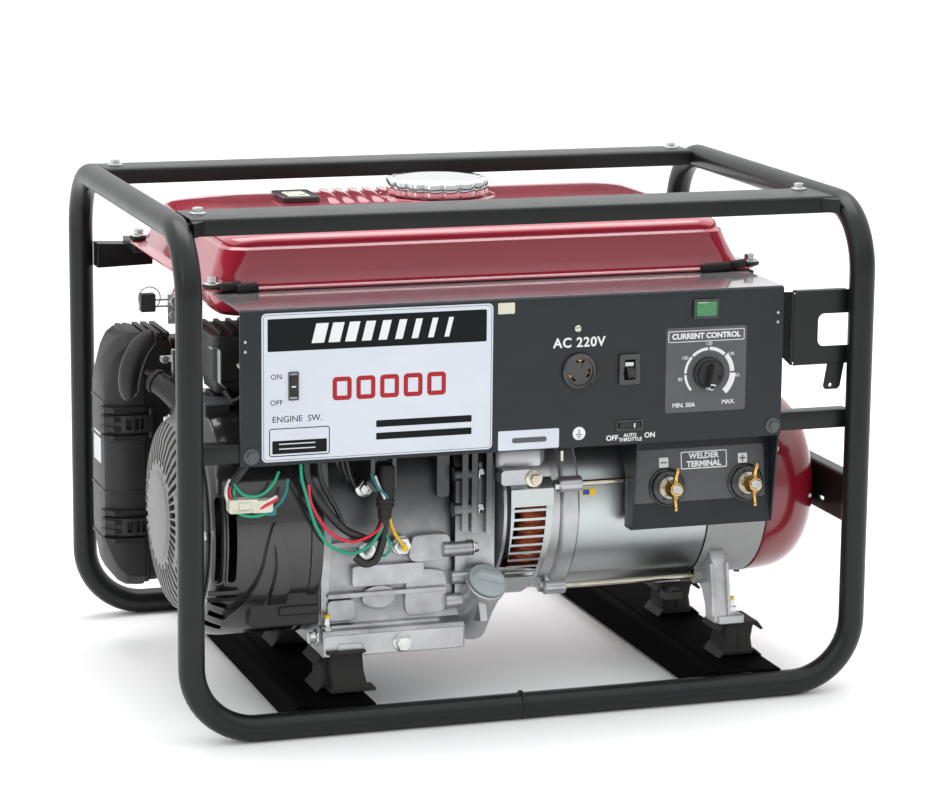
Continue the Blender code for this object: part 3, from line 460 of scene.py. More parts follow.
# ---------------------------------------------------------------- fasteners
def hexagon(at, along, flats, height, start=0.0, turn=0.0):
    """A six-sided prism standing on the point, with its top corners eased."""
    axis, side, other = frame_of(along)
    radius = flats / math.sqrt(3)
    rings = []
    for far, size in ((0, 1), (height - 0.6, 1), (height, 0.93)):
        ring = []
        for i in range(6):
            angle = math.radians(60 * i + turn)
            reach = (side * math.cos(angle) + other * math.sin(angle)) * radius * size
            ring.append(Vector(at) + axis * (start + far) + reach)
        rings.append(ring)
    return loft(rings)


def disc(at, along, radius, height, start=0.0):
    """A flat washer or plug with its outer corner eased."""
    ease = 0.3
    top = start + height
    return lathe(
        [(start, radius), (top - ease, radius), (top, radius - ease), (top, 0), (start, 0)], 28, at, along,
    )


def hex_bolt(at, along, flats=10.0, flange=0.0, head=5.5):
    """A hexagon head bolt with an optional flange under the head."""
    shapes = []
    base = 0.0
    if flange:
        shapes.append(
            lathe(
                [
                    (base, 0), (base, flange), (base + 1.2, flange), (base + 2.6, flats * 0.5),
                    (base + 2.6, 0),
                ],
                28, at, along,
            )
        )
        base += 1.6
    shapes.append(hexagon(at, along, flats, head, base, 12))
    shapes.append(
        lathe(
            [
                (base + head - 0.6, 0), (base + head - 0.6, flats * 0.36),
                (base + head + 0.2, flats * 0.30), (base + head + 0.2, 0),
            ],
            24, at, along,
        )
    )
    return merged(*shapes)


def stud(at, along, nut=10.0, radius=3.0, height=14.0, washer=9.0):
    """A threaded end with its washer and nut."""
    return merged(
        disc(at, along, washer, 1.6), hexagon(at, along, nut, 6.0, 1.5, 8),
        lathe(
            [(7, 0), (7, radius), (height - 0.6, radius), (height, radius - 0.7), (height, 0)], 20, at,
            along,
        ),
    )


def cross_screw(at, along, radius=3.6):
    """A pan head with a crossed recess."""
    head = lathe(
        [(0, 0), (0, radius), (0.9, radius), (1.9, radius * 0.72), (2.3, radius * 0.3), (2.3, 0)], 24, at,
        along,
    )
    axis, side, other = frame_of(along)
    arms = []
    for one, two in ((side, other), (other, side)):
        rings = []
        for far in (0.9, 4.0):
            middle = Vector(at) + axis * far
            half, thin = one * radius * 0.62, two * radius * 0.14
            rings.append(
                [middle - half - thin, middle + half - thin, middle + half + thin, middle - half + thin]
            )
        arms.append(loft(rings))
    return cut(head, *arms)


# ---------------------------------------------------------------- frame
PIPE_R = 13.6
PIPE_X = cad_box[1][0] / MM - PIPE_R
PIPE_Y = cad_box[1][1] / MM - PIPE_R - 0.2
PIPE_TOP = cad_box[1][2] / MM - PIPE_R - 0.2
JOINT_X = box_of("frame_pipe_left")[1].x
BEND_R = 68.0


def frame_pipes():
    for name, side in (("left", -1), ("right", 1)):
        corners = [
            (JOINT_X, -PIPE_Y, PIPE_R),
            (side * PIPE_X, -PIPE_Y, PIPE_R),
            (side * PIPE_X, -PIPE_Y, PIPE_TOP),
            (side * PIPE_X, PIPE_Y, PIPE_TOP),
            (side * PIPE_X, PIPE_Y, PIPE_R),
            (JOINT_X, PIPE_Y, PIPE_R),
        ]
        loop = tube(bent(corners, BEND_R, 14), PIPE_R, 40)
        piece(f"pipe_loop_{name}", loop, ENAMEL, angle=40, nodes=(f"frame_pipe_{name}",))
    beads = []
    for y in (-PIPE_Y, PIPE_Y):
        crown = [(u - 2.2, PIPE_R - 0.8 + v) for u, v in arc((2.2, 0.2), 2.2, 180, 0, 6)]
        beads.append(lathe([*crown, (2.2, 8), (-2.2, 8)], 40, (JOINT_X, y, PIPE_R + 0.9)))
    piece("weld_rings", merged(*beads), ENAMEL, angle=50)


def channel(ys, top, drop, thick, radius):
    """A sheet folded down along both long edges, as a (y, z) outline."""
    front, back = ys
    foot = top - drop
    inner = radius - thick
    return [
        (front, foot),
        *arc((front + radius, top - radius), radius, 180, 90),
        *arc((back - radius, top - radius), radius, 90, 0),
        (back, foot),
        (back - thick, foot),
        *arc((back - radius, top - radius), inner, 0, 90),
        *arc((front + radius, top - radius), inner, 90, 180),
        (front + thick, foot),
    ]


def top_rails():
    for name in ("top_rail_front", "top_rail_rear"):
        low, high = box_of(name)
        profile = channel((low.y, high.y), high.z, high.z - low.z, 2.3, 4.5)
        rail = prism(profile, "x", low.x, high.x)
        piece(name + "_sheet", rail, ENAMEL, edge=0.4, nodes=(name,))
    front, rear = box_of("top_rail_front"), box_of("top_rail_rear")
    top = front[1].z
    spots = [(-334, -180), (334, -160), (-334, 213), (334, 213)]
    bolts = [hex_bolt((x, y, top), ALONG_Z, 9.5, 8.6, 5.0) for x, y in spots]
    piece("rail_bolts", merged(*bolts), ZINC, angle=25)
    gussets = []
    for side in (-1, 1):
        for low, high in (front, rear):
            face = low.y if low.y < 0 else high.y
            out = -1 if low.y < 0 else 1
            lip = [(side * 350.5, face), (side * 336, face), (side * 350.5, face + out * 16)]
            gussets.append(prism(lip, "z", top - 17, top - 2))
            gussets.append(
                block(sorted((side * 330, side * 351)), (low.y + 4, high.y - 4), (top - 17, top - 5))
            )
    piece("rail_gussets", merged(*gussets), ENAMEL, edge=0.8)


def cross_members():
    for name in ("cross_member_left", "cross_member_right"):
        low, high = box_of(name)
        rim = high.z
        top = rim - 3
        thick = 2.6
        upper = [
            *arc((low.x + 3.5, rim - 3.5), 3.5, 180, 95, 5),
            *arc((low.x + 12, rim - 3), 3.0, 85, 30, 3),
            (low.x + 16, top - 2.2),
            (low.x + 20, top - 2.2),
            *arc((low.x + 24, top - 3), 3.0, 150, 90, 3),
            *arc((high.x - 4, top - 4), 4, 90, 0, 5),
        ]
        under = [(x if abs(x - low.x) > 4 else low.x + thick, z - thick) for x, z in reversed(upper[2:-3])]
        profile = [
            (low.x, low.z), *upper, (high.x, low.z), (high.x - thick, low.z), (high.x - thick, top - 6),
            *under, (low.x + thick, low.z),
        ]
        bar = prism(profile, "y", low.y, high.y)
        copes = [rod(low.x - 9, high.x + 9, PIPE_R + 0.3,
                       40, (0, y, PIPE_R)) for y in (-PIPE_Y, PIPE_Y)]
        # Painted shade: the channels use the darker, dull copy of the frame enamel.
        piece(name + "_channel", cut(bar, *copes), SHADED_ENAMEL, angle=24, nodes=(name,))


def brackets():
    bars = []
    for name in ("panel_bar_left", "panel_bar_right"):
        low, high = box_of(name)
        far = 5 if low.x > 0 else 0
        bars.append(prism(soft_box((low.y, high.y), (low.z, high.z), 2.0, 3), "x", low.x, high.x + far))
    piece("panel_bars", merged(*bars), ENAMEL, edge=0.3, nodes=("panel_bar_left", "panel_bar_right"))
    low, high = box_of("panel_bracket_right")
    left, right = low.x + 3, high.x + 5
    outer = [
        (right, 358), (right, 377), *arc((327, 384), 7, 270, 180), *arc((327, 405), 7, 180, 90),
        (right, 412), (right, high.z), *arc((left + 6, high.z - 6), 6, 90, 180),
        *arc((left + 6, 364), 6, 180, 270),
    ]
    plate = prism(outer, "y", low.y, low.y + 2.6)
    rolled = prism(
        [(low.y + 0.1, 358.2), (low.y + 12, 355), (low.y + 12, 357.4), (low.y + 2.4, 361)], "x", left + 5,
        right,
    )
    plate = merged(plate, rolled)
    cheek = prism(
        [(low.y, 358), (low.y + 36, 366), (low.y + 40, 430), (low.y, high.z)], "x", low.x, low.x + 2.6,
    )
    lip = prism(soft_box((low.y + 0.2, low.y + 12), (high.z - 2.6, high.z), 1.2, 3), "x", low.x + 6, high.x)
    tab = prism(
        [(333, 359), (352, 359), (347.5, 333), (344.5, 330), (331, 330), (328.6, 333)], "y", low.y + 0.6,
        low.y + 3.2,
    )
    tab = cut(tab, rod(-9, 9, 2, 20, (336.5, low.y, 334.6), ALONG_Y))
    piece("bracket_sheet", merged(plate, cheek, lip, tab), ENAMEL, edge=0.7, nodes=("panel_bracket_right",))
    low, high = box_of("side_brace_right")
    thick = 3.0
    outline = [
        *arc((low.x + 4, high.z - 4), 4, 180, 90),
        (high.x, high.z),
        (high.x, high.z - thick),
        *arc((low.x + 4, high.z - 4), 1, 90, 180, 3),
        *arc((low.x + 4, low.z + 4), 1, 180, 270, 3),
        (high.x, low.z + thick),
        (high.x, low.z),
        *arc((low.x + 4, low.z + 4), 4, 270, 180),
    ]
    bar = loft([[(x, y, z) for x, z in outline] for y in (low.y, high.y)])
    holes = [
        block((low.x - 5, low.x + 8), (y - 7, y + 7), (z - 2.2, z + 2.2))
        for y, z in ((-188, 196), (150, 196))
    ]
    piece("side_brace_channel", cut(bar, *holes), ENAMEL, edge=0.3, nodes=("side_brace_right",))
    arms = []
    for name in ("tank_arm_left", "tank_arm_right"):
        low, high = box_of(name)
        side = -1 if low.x < 0 else 1
        tall = (low.z, 438)
        tip = low.x if side > 0 else high.x
        root = high.x if side > 0 else low.x
        side_view = [(root, tall[0] - 2), (tip, tall[0]), (tip, tall[1] - 2), (tip + side * 14, tall[1]),
                     (root, tall[1] + 2)]
        arms.append(prism(side_view, "y", 240, 264))
        seat = sorted((tip + side * 4, tip + side * 30))
        arms.append(block(seat, (low.y, 262), (434, high.z)))
    piece("tank_arms", merged(*arms), ENAMEL, edge=1.0, nodes=("tank_arm_left", "tank_arm_right"))


def rubber_mount(name):
    low, high = box_of(name)
    x = (low.x + high.x) / 2
    half = 17.0
    body = []
    for z, grow, round_by in (
            (low.z + 3, 2, 5), (low.z + 8, 0.5, 5), (low.z + 20, -1.2, 5), (high.z - 8, 0.5, 5),
            (high.z - 3, 2, 5),
    ):
        ring = soft_box(
            (x - half - grow, x + half + grow), (low.y + 2 - grow * 0.4, high.y - 2 + grow * 0.4), round_by,
        )
        body.append([(u, v, z) for u, v in ring])
    seam = block((x - 0.8, x + 0.8), (low.y + 0.9, high.y - 0.9), (low.z + 7, high.z - 7))
    block_shape = merged(loft(body), seam)
    plates = []
    for foot, way in ((low.z, 1), (high.z, -1)):
        wide = (x - 26, x + 28)
        if way > 0:
            outline = [(wide[0] + 2, foot), (wide[0] + 9, foot + 8), (wide[1] - 9, foot + 8), (wide[1], foot),
                       (wide[1] - 3, foot), (wide[1] - 10, foot + 5.5), (wide[0] + 10, foot + 5.5),
                       (wide[0] + 5, foot)]
        else:
            outline = [(wide[0], foot - 9), (wide[0] + 7, foot), (wide[1] - 7, foot), (wide[1], foot - 9),
                       (wide[1] - 2.6, foot - 10.5), (wide[1] - 9, foot - 3), (wide[0] + 9, foot - 3),
                       (wide[0] + 2.6, foot - 10.5)]
        plates.append(prism(outline, "y", low.y, high.y))
    if name == "mount_engine_front":
        face = []
        for z, left, right, out in (
                (35, -208, -163, 0), (38, -205, -168, 1), (54, -206, -172, 3), (72, -208, -174, 1.5),
                (76, -210, -172, 0),
        ):
            face.append([(left, -230 + out, z), (right, -230 + out, z), (right, -212, z), (left, -212, z)])
        lips = [
            block((-213, -171), (-232, -226.5), (74.5, 77.5)),
            block((-209, -160), (-232, -212), (33, 36.5)),
        ]
        block_shape = merged(block_shape, loft(face), *lips)
    piece(name + "_rubber", block_shape, RUBBER, edge=0.5, nodes=(name,))
    piece(name + "_plates", merged(*plates), RUBBER, edge=0.8)


# ---------------------------------------------------------------- panel
PANEL_LOW, PANEL_HIGH = box_of("control_panel")
PANEL_Y = PANEL_LOW.y
PANEL_T = 2.0
KNOB = (194.6, 355.4)
SOCKET = (50.6, 364.8)
BREAKER = (105.8, 364.0)
ENGINE_SWITCH = (-254.8, 365.1)
IDLE_SWITCH = (107.2, 304.6)
LAMP = (190.0, 424.0)


def on_panel(x, z, out=0.0):
    """A point this far out of the panel's face."""
    return (x, PANEL_Y - out, z)


def panel_plate(xs, zs, radius, out, thick=0.3):
    """A thin plate on the panel, with its face this far out."""
    return prism(soft_box(xs, zs, radius), "y", PANEL_Y - out, PANEL_Y - out + thick)


def panel_ring(xs, zs, radius, wide, out, thick=0.15):
    """A flat frame of even width on the panel."""
    outer = panel_plate(xs, zs, radius, out, thick)
    inner = prism(
        soft_box((xs[0] + wide, xs[1] - wide), (zs[0] + wide, zs[1] - wide), max(radius - wide, 0.3)), "y",
        PANEL_Y - out - 1, PANEL_Y - out + thick + 1,
    )
    return cut(outer, inner)


def lettering(text, size, at, spread=1.0, bold=0.0, lean=0.0):
    """Plain generic words or numbers, standing 0.12 mm off an upright face that looks to -Y."""
    curve = bpy.data.curves.new("word", "FONT")
    curve.body = text
    curve.size = size
    curve.align_x = "CENTER"
    curve.align_y = "CENTER"
    curve.space_character = spread
    curve.offset = bold
    curve.extrude = 0.06
    curve.resolution_u = 4
    held = bpy.data.objects.new("word", curve)
    bpy.context.scene.collection.objects.link(held)
    graph = bpy.context.evaluated_depsgraph_get()
    graph.update()
    shape = bmesh.new()
    flat = bpy.data.meshes.new_from_object(held.evaluated_get(graph))
    shape.from_mesh(flat)
    bpy.data.meshes.remove(flat)
    bpy.data.objects.remove(held)
    bmesh.ops.remove_doubles(shape, verts=shape.verts[:], dist=0.0001)
    stand = Matrix.Translation(Vector(at)) @ Matrix.Rotation(math.radians(90 + lean), 4, "X")
    return moved(shape, stand)


def panel_sheet():
    low, high = PANEL_LOW, PANEL_HIGH
    bend = 3.5
    inner = bend - PANEL_T
    profile = [
        (low.y, low.z),
        *arc((low.y + bend, high.z - bend), bend, 180, 90),
        (high.y, high.z),
        (high.y, high.z - PANEL_T),
        *arc((low.y + bend, high.z - bend), inner, 90, 180),
        (low.y + PANEL_T, low.z),
    ]
    sheet = prism(profile, "x", low.x, high.x)
    side = prism(
        [(low.y + 0.2, low.z + 26), (low.y + 0.2, high.z - 2), (high.y, high.z - 2), (high.y, low.z + 60)],
        "x", high.x - PANEL_T, high.x - 0.01,
    )
    lip = block((low.x + 110, high.x - 30), (low.y + 0.5, low.y + 14), (low.z + 0.1, low.z + PANEL_T))

    def hole(at, wide, tall):
        return block(
            (at[0] - wide / 2, at[0] + wide / 2), (low.y - 5, low.y + 7),
            (at[1] - tall / 2, at[1] + tall / 2),
        )

    def drill(at, radius):
        return rod(-8, 8, radius, 32, (at[0], low.y, at[1]), ALONG_Y)

    sheet = cut(
        sheet, drill(KNOB, 6), drill(SOCKET, 17.2), hole(BREAKER, 18, 28), hole(ENGINE_SWITCH, 10, 28),
        hole(IDLE_SWITCH, 28, 10), hole(LAMP, 23, 17),
    )
    piece("panel_sheet", merged(sheet, side, lip), PANEL, edge=0.35, nodes=("control_panel",))
    # A thin pale plate over the sheet's top carries the painted reflection.
    top = block((low.x + 0.2, high.x - 0.2), (low.y + bend, high.y - 0.2), (high.z - 0.2, high.z + 0.25))
    piece("panel_top", top, PANEL_TOP_REFLECTION, edge=0.1)


def panel_plates():
    white = panel_plate((-287.8, -43.6), (288.0, 440.0), 5, 0.5, 0.6)
    piece("name_plate", white, PLATE, edge=0.15)
    line = panel_ring((-286.2, -45.2), (289.6, 438.4), 4, 0.5, 0.56, 0.1)
    piece("name_plate_line", line, GREY_PLATE)
    piece("name_band", panel_plate((-281.6, -50.6), (401.0, 434.2), 1.5, 0.6, 0.2), INK)
    bars = []
    for i in range(9):
        wide = 13 - i
        start = -236 + i * 17.5
        bars.append(prism([(start, 408), (start + wide, 408), (start + wide + 5, 428), (start + 5, 428)], "y",
                          PANEL_Y - 0.75, PANEL_Y - 0.55))
    piece("plain_bars", merged(*bars), WHITE)
    wave = []
    for i in range(5):
        left = -214 + i * 25
        wave.append(panel_ring((left, left + 20), (348, 372), 4, 4.6, 0.66, 0.15))
    piece("plain_blocks", merged(*wave), MARK)
    strips = [panel_plate((-168, -66), (318 - i * 13, 325 - i * 13), 1, 0.62, 0.12) for i in range(2)]
    strips.append(panel_ring((-280.2, -216.9), (293.3, 322.3), 3, 0.9, 0.62, 0.12))
    strips.append(panel_plate((-277, -220), (296, 309.5), 1, 0.62, 0.12))
    piece("plain_strips", merged(*strips), INK)
    specks = [panel_plate((-270, -268 + 36), (305.5 - 5 * i, 306.6 - 5 * i), 0.3, 0.7, 0.1) for i in range(2)]
    specks.append(panel_plate((-262, -236), (314.5, 316.5), 0.5, 0.66, 0.12))
    piece("plain_dashes", merged(*specks), PLATE)
    piece("engine_words", merged(
        lettering("ON", 7.5, on_panel(-272.5, 375, 0.58)),
        lettering("OFF", 7.5, on_panel(-272.5, 348.5, 0.58)),
        lettering("ENGINE  SW.", 9.0, on_panel(-251, 331.2, 0.58)),
    ), INK, angle=60)
    piece("small_plate", panel_plate((-37.0, 29.6), (285.2, 305.8), 1.5, 0.5, 0.6), PLATE, edge=0.15)
    piece("small_plate_mark", panel_plate((-22, 16), (292.5, 298), 2.5, 0.62, 0.2), GREY_PLATE)
    piece("pale_sticker", panel_plate((-38.4, -20.3), (428.2, 439.8), 1.0, 0.2, 0.3), NYLON)
    piece("socket_words", lettering("AC 220V", 14.0, on_panel(50.5, 394.5, 0.08), 1.1, 0.35), WHITE, angle=60)
    piece("idle_words", merged(
        lettering("OFF", 7.6, on_panel(88.5, 291.5, 0.08), 1, 0.2),
        lettering("AUTO", 5.2, on_panel(108.5, 293.6, 0.08), 1, 0.15),
        lettering("THROTTLE", 5.2, on_panel(108.8, 289.0, 0.08), 1, 0.15),
        lettering("ON", 7.6, on_panel(130.5, 292.5, 0.08), 1, 0.2),
    ), WHITE, angle=60)
    piece("earth_disc", disc(on_panel(51.7, 298.7), TO_FRONT, 7.0, 0.4), WHITE)
    marks = [block((51.3, 52.1), (PANEL_Y - 0.55, PANEL_Y - 0.35), (298, 303))]
    marks += [block((51.7 - 3.6 + i, 51.7 + 3.6 - i), (PANEL_Y - 0.55, PANEL_Y - 0.35),
                    (297.4 - 1.9 * i, 298.0 - 1.9 * i)) for i in range(3)]
    piece("earth_mark", merged(*marks), INK)


def dial():
    piece("dial_plate", panel_plate((146.8, 237.2), (314.6, 404.6), 3, 0.5, 0.6), GREY_PLATE, edge=0.15)
    x, z = KNOB
    scale = []
    for start, end, wide in (
            (-132, -92, 2.6), (-88, -47, 2.8), (-43, -2, 3.0), (2, 43, 3.6), (47, 88, 5.0), (92, 138, 6.4),
    ):
        inner = [(x + 24.4 * math.sin(math.radians(a)), z + 24.4 * math.cos(math.radians(a)))
                 for a in [start + (end - start) * i / 8 for i in range(9)]]
        outer = [
            (x + (24.4 + wide) * math.sin(math.radians(a)), z + (24.4 + wide) * math.cos(math.radians(a)))
            for a in [end - (end - start) * i / 8 for i in range(9)]
        ]
        scale.append(prism([*inner, *outer], "y", PANEL_Y - 0.7, PANEL_Y - 0.5))
    piece("dial_scale", merged(*scale), WHITE)
    words = [
        lettering(
            text, 5.2,
            on_panel(x + 31.8 * math.sin(math.radians(a)), z + 31.4 * math.cos(math.radians(a)), 0.58),
        )
        for text, a in (("80", -100), ("100", -57), ("120", 0), ("140", 52), ("160", 97))
    ]
    words.append(lettering("MIN. 50A", 6.4, on_panel(167.5, 322.3, 0.58), 1, 0.12))
    words.append(lettering("MAX.", 6.4, on_panel(218, 323.6, 0.58), 1, 0.12))
    words.append(lettering("CURRENT CONTROL", 8.0, on_panel(191.6, 395.3, 0.58), 1, 0.30))
    piece("dial_words", merged(*words), WHITE, angle=60)
    piece("dial_frame", panel_ring((149, 234.6), (389.4, 401.4), 1.5, 0.7, 0.6, 0.12), WHITE)
    body = "current_knob"
    face = PANEL_Y - 0.6

    def grips(turn):
        return 1 + 0.02 * math.cos(10 * turn)

    skirt = lathe([(0.2, 0), (0.2, 16.5), (1.0, 17.2), (3.6, 17.0), (5.0, 15.2), (6.0, 14.6), (6.0, 0)], 60,
                  (x, face, z), TO_FRONT)
    bar = []
    for out, half, long in ((5.5, 6.6, 15.0), (12.0, 5.2, 14.4), (17.5, 4.2, 13.8), (20.0, 3.0, 12.5)):
        ring = soft_box((x - half, x + half), (z - long, z + long), min(half - 0.2, 3.5), 5)
        bar.append([(u, face - out, v) for u, v in ring])
    shoulder = lathe(
        [(5, 0), (5, 14.8), (9.5, 14.0), (10.5, 13.0), (10.5, 0)], 60, (x, face, z), TO_FRONT, grips,
    )
    spindle = rod(-12, 2, 4, 24, (x, face, z), TO_FRONT)
    tilt = 12
    parts = [turned(s, tilt, "Y", (x, face, z)) for s in (skirt, loft(bar), shoulder)]
    piece("knob", merged(*parts, spindle), BLACK, body, edge=0.5, angle=28, nodes=("current_knob",))
    notch = prism([(face - 8, z - 16), (face - 14, z - 16), (face - 19.2, z - 12), (face - 20.6, z - 8.5),
                   (face - 8, z - 8.5)], "x", x - 3.0, x + 3.0)
    piece("knob_tip", turned(notch, tilt, "Y", (x, face, z)), PLATE, body, edge=0.3)
    screw = disc((x + 9, face - 9.5, z - 1), TO_FRONT, 2.0, 1.4)
    piece("knob_grub", turned(screw, tilt, "Y", (x, face, z)), INK, body)


def socket_and_switches():
    x, z = SOCKET
    face = PANEL_Y - 0.3
    shell = lathe(
        [
            (22, 0), (22, 15), (2, 16.6), (-0.2, 16.6), (-0.2, 19.2), (-1.2, 19.4), (-3.4, 18.4),
            (-4.6, 16.6), (-4.2, 14.8), (-1.6, 14.2), (-1.2, 0),
        ],
        64, (x, face, z), ALONG_Y,
    )
    slots = []
    for start, end in ((62, 112), (-38, 12), (192, 246)):
        path = arc((x, z), 9.4, start, end, 8)
        outer = arc((x, z), 12.0, start, end, 8)
        slots.append(prism([*path, *reversed(outer)], "y", face - 8, face + 4))
    piece("socket_face", cut(shell, *slots), GLOSS, edge=0.25, nodes=("socket",))
    contacts = []
    for start, end in ((70, 92), (-20, -8), (200, 216)):
        contacts.append(
            prism(
                [*arc((x, z), 9.9, start, end, 4), *reversed(arc((x, z), 11.4, start, end, 4))], "y",
                face + 1.4, face + 3.9,
            )
        )
    piece("socket_contacts", merged(*contacts), AMBER)
    low, high = box_of("breaker")
    body = prism(soft_box((low.x, high.x), (low.z, high.z), 1.2, 3), "y", low.y, low.y + 3.2)
    back = block((low.x + 3.5, high.x - 3.5), (low.y + 3, high.y), (low.z + 3, high.z - 3))
    mouth = block(
        (BREAKER[0] - 6, BREAKER[0] + 6), (low.y - 3, low.y + 16), (BREAKER[1] - 10.5, BREAKER[1] + 10.5),
    )
    piece("breaker_body", cut(combined(body, [back], "UNION"), mouth), GLOSS, edge=0.5, nodes=("breaker",))
    pivot = (BREAKER[0], PANEL_Y + 3.6, BREAKER[1])
    lever = prism(
        [(-7.5, 3.4), (-8, -3.4), (12.5, -8.2), (15.0, -6.6), (15.2, -4.6), (8, 2.4)], "x", -4.4, 4.4,
    )
    lever = moved(lever, Matrix.Translation(pivot) @ Matrix.Scale(-1, 4, ALONG_Y))
    piece("breaker_lever", lever, BLACK, "breaker_toggle", edge=0.5, nodes=("breaker_toggle",))
    flag = block(
        (BREAKER[0] - 4.6, BREAKER[0] + 4.6), (low.y + 1.8, low.y + 2.4),
        (BREAKER[1] + 3.4, BREAKER[1] + 7.4),
    )
    piece("breaker_flag", flag, WHITE, "breaker_toggle")
    for name, node_name, at, upright in (("engine", "engine_switch", ENGINE_SWITCH, True),
                                         ("idle", "throttle_switch", IDLE_SWITCH, False)):
        wide, tall = (10.8, 29.0) if upright else (29.0, 10.8)
        bezel = cut(
            panel_plate(
                (at[0] - wide / 2, at[0] + wide / 2), (at[1] - tall / 2, at[1] + tall / 2), 1.2, 1.8, 2.2,
            ),
            block(
                (at[0] - wide / 2 + 1.4, at[0] + wide / 2 - 1.4), (PANEL_Y - 5, PANEL_Y + 5),
                (at[1] - tall / 2 + 1.4, at[1] + tall / 2 - 1.4),
            ),
        )
        piece(name + "_bezel", bezel, GLOSS, edge=0.3)
        rocker = [(2.0, 7), (2.0, -7), (-5.0, -11.2), (-6.0, -11.2), (-5.6, 0.5), (-8.6, 10.8), (-5.2, 11.2)]
        if upright:
            outline = [(PANEL_Y + 4 + v, at[1] + u) for v, u in rocker]
            shape = prism(outline, "x", at[0] - 3.7, at[0] + 3.7)
            mark = block(
                (at[0] - 2.2, at[0] + 2.2), (PANEL_Y - 2.3, PANEL_Y - 1.5), (at[1] - 1.2, at[1] + 0.2),
            )
        else:
            outline = [(at[0] + u, PANEL_Y + 4 + v) for v, u in rocker]
            shape = prism(outline, "z", at[1] - 3.7, at[1] + 3.7)
            mark = block(
                (at[0] + 4.2, at[0] + 5.6), (PANEL_Y - 3.5, PANEL_Y - 2.0), (at[1] - 2.2, at[1] + 2.2),
            )
        piece(name + "_rocker", shape, BLACK, node_name, edge=0.4, nodes=(node_name,))
        piece(name + "_rocker_mark", mark, WHITE, node_name)
    low, high = box_of("pilot_lamp")
    ring = cut(panel_plate((low.x, high.x), (low.z, high.z), 1.5, 3.4, 3.2),
               block((low.x + 2.2, high.x - 2.2), (PANEL_Y - 9, PANEL_Y + 9), (low.z + 2.2, high.z - 2.2)))
    piece("lamp_bezel", ring, GLOSS, edge=0.4)
    lens = []
    for out, shrink in ((0, 2.3), (3.6, 2.3), (5.2, 3.4)):
        lens.append([(u, PANEL_Y - out, v) for u, v in
                     soft_box((low.x + shrink, high.x - shrink), (low.z + shrink, high.z - shrink), 1.0, 2)])
    piece("lamp_lens", loft(lens), LENS, edge=0.3, nodes=("pilot_lamp",))
    spots = [(-254.8, 384.9), (-254.8, 345.6), (48.8, 409.4), (51.8, 319.0), (105.4, 387.6), (106.4, 336.6),
             (255.7, 426.4), (259.0, 326.9)]
    screws = [turned(cross_screw(on_panel(x, z), TO_FRONT, 3.7), 25 + 31 * i, "Y", on_panel(x, z))
              for i, (x, z) in enumerate(spots)]
    screws += [turned(cross_screw(on_panel(x, z), TO_FRONT, 2.9), 40 + 17 * i, "Y", on_panel(x, z))
               for i, (x, z) in enumerate([(87.4, 304.6), (127.4, 304.6)])]
    piece("panel_screws", merged(*screws), ROD, angle=25)
    bolts = [hex_bolt(on_panel(x, z), TO_FRONT, 10, 8.2, 4.5) for x, z in ((-298.6, 294.6), (269.6, 295.2))]
    piece("panel_bolts", merged(*bolts), GREY_PLATE, angle=25)
    rivets = [
        disc(on_panel(x, z), TO_FRONT, 1.6, 0.7)
        for x, z in ((-304.5, 412), (-304.5, 402), (272.5, 416), (272.5, 406))
    ]
    piece("panel_rivets", merged(*rivets), STEEL)


# ---------------------------------------------------------------- terminal box
TERM_LOW, TERM_HIGH = box_of("terminal_box")
FACE_TOP = (-228.0, TERM_HIGH.z)
FACE_FOOT = (-240.0, TERM_LOW.z)
LEAN = math.degrees(math.atan2(FACE_TOP[0] - FACE_FOOT[0], FACE_TOP[1] - FACE_FOOT[1]))
OUT = Vector((0, -math.cos(math.radians(LEAN)), math.sin(math.radians(LEAN))))


def on_face(x, z, out=0.0):
    """A point this far out of the terminal box's leaning face."""
    share = (FACE_TOP[1] - z) / (FACE_TOP[1] - FACE_FOOT[1])
    y = FACE_TOP[0] + (FACE_FOOT[0] - FACE_TOP[0]) * share
    return Vector((x, y, z)) + OUT * out


def face_plate(xs, zs, radius, out, thick=0.3):
    """A thin plate on the terminal box's leaning face."""
    ring = soft_box(xs, zs, radius)
    return loft([[on_face(u, v, out - t) for u, v in ring] for t in (0, thick)])


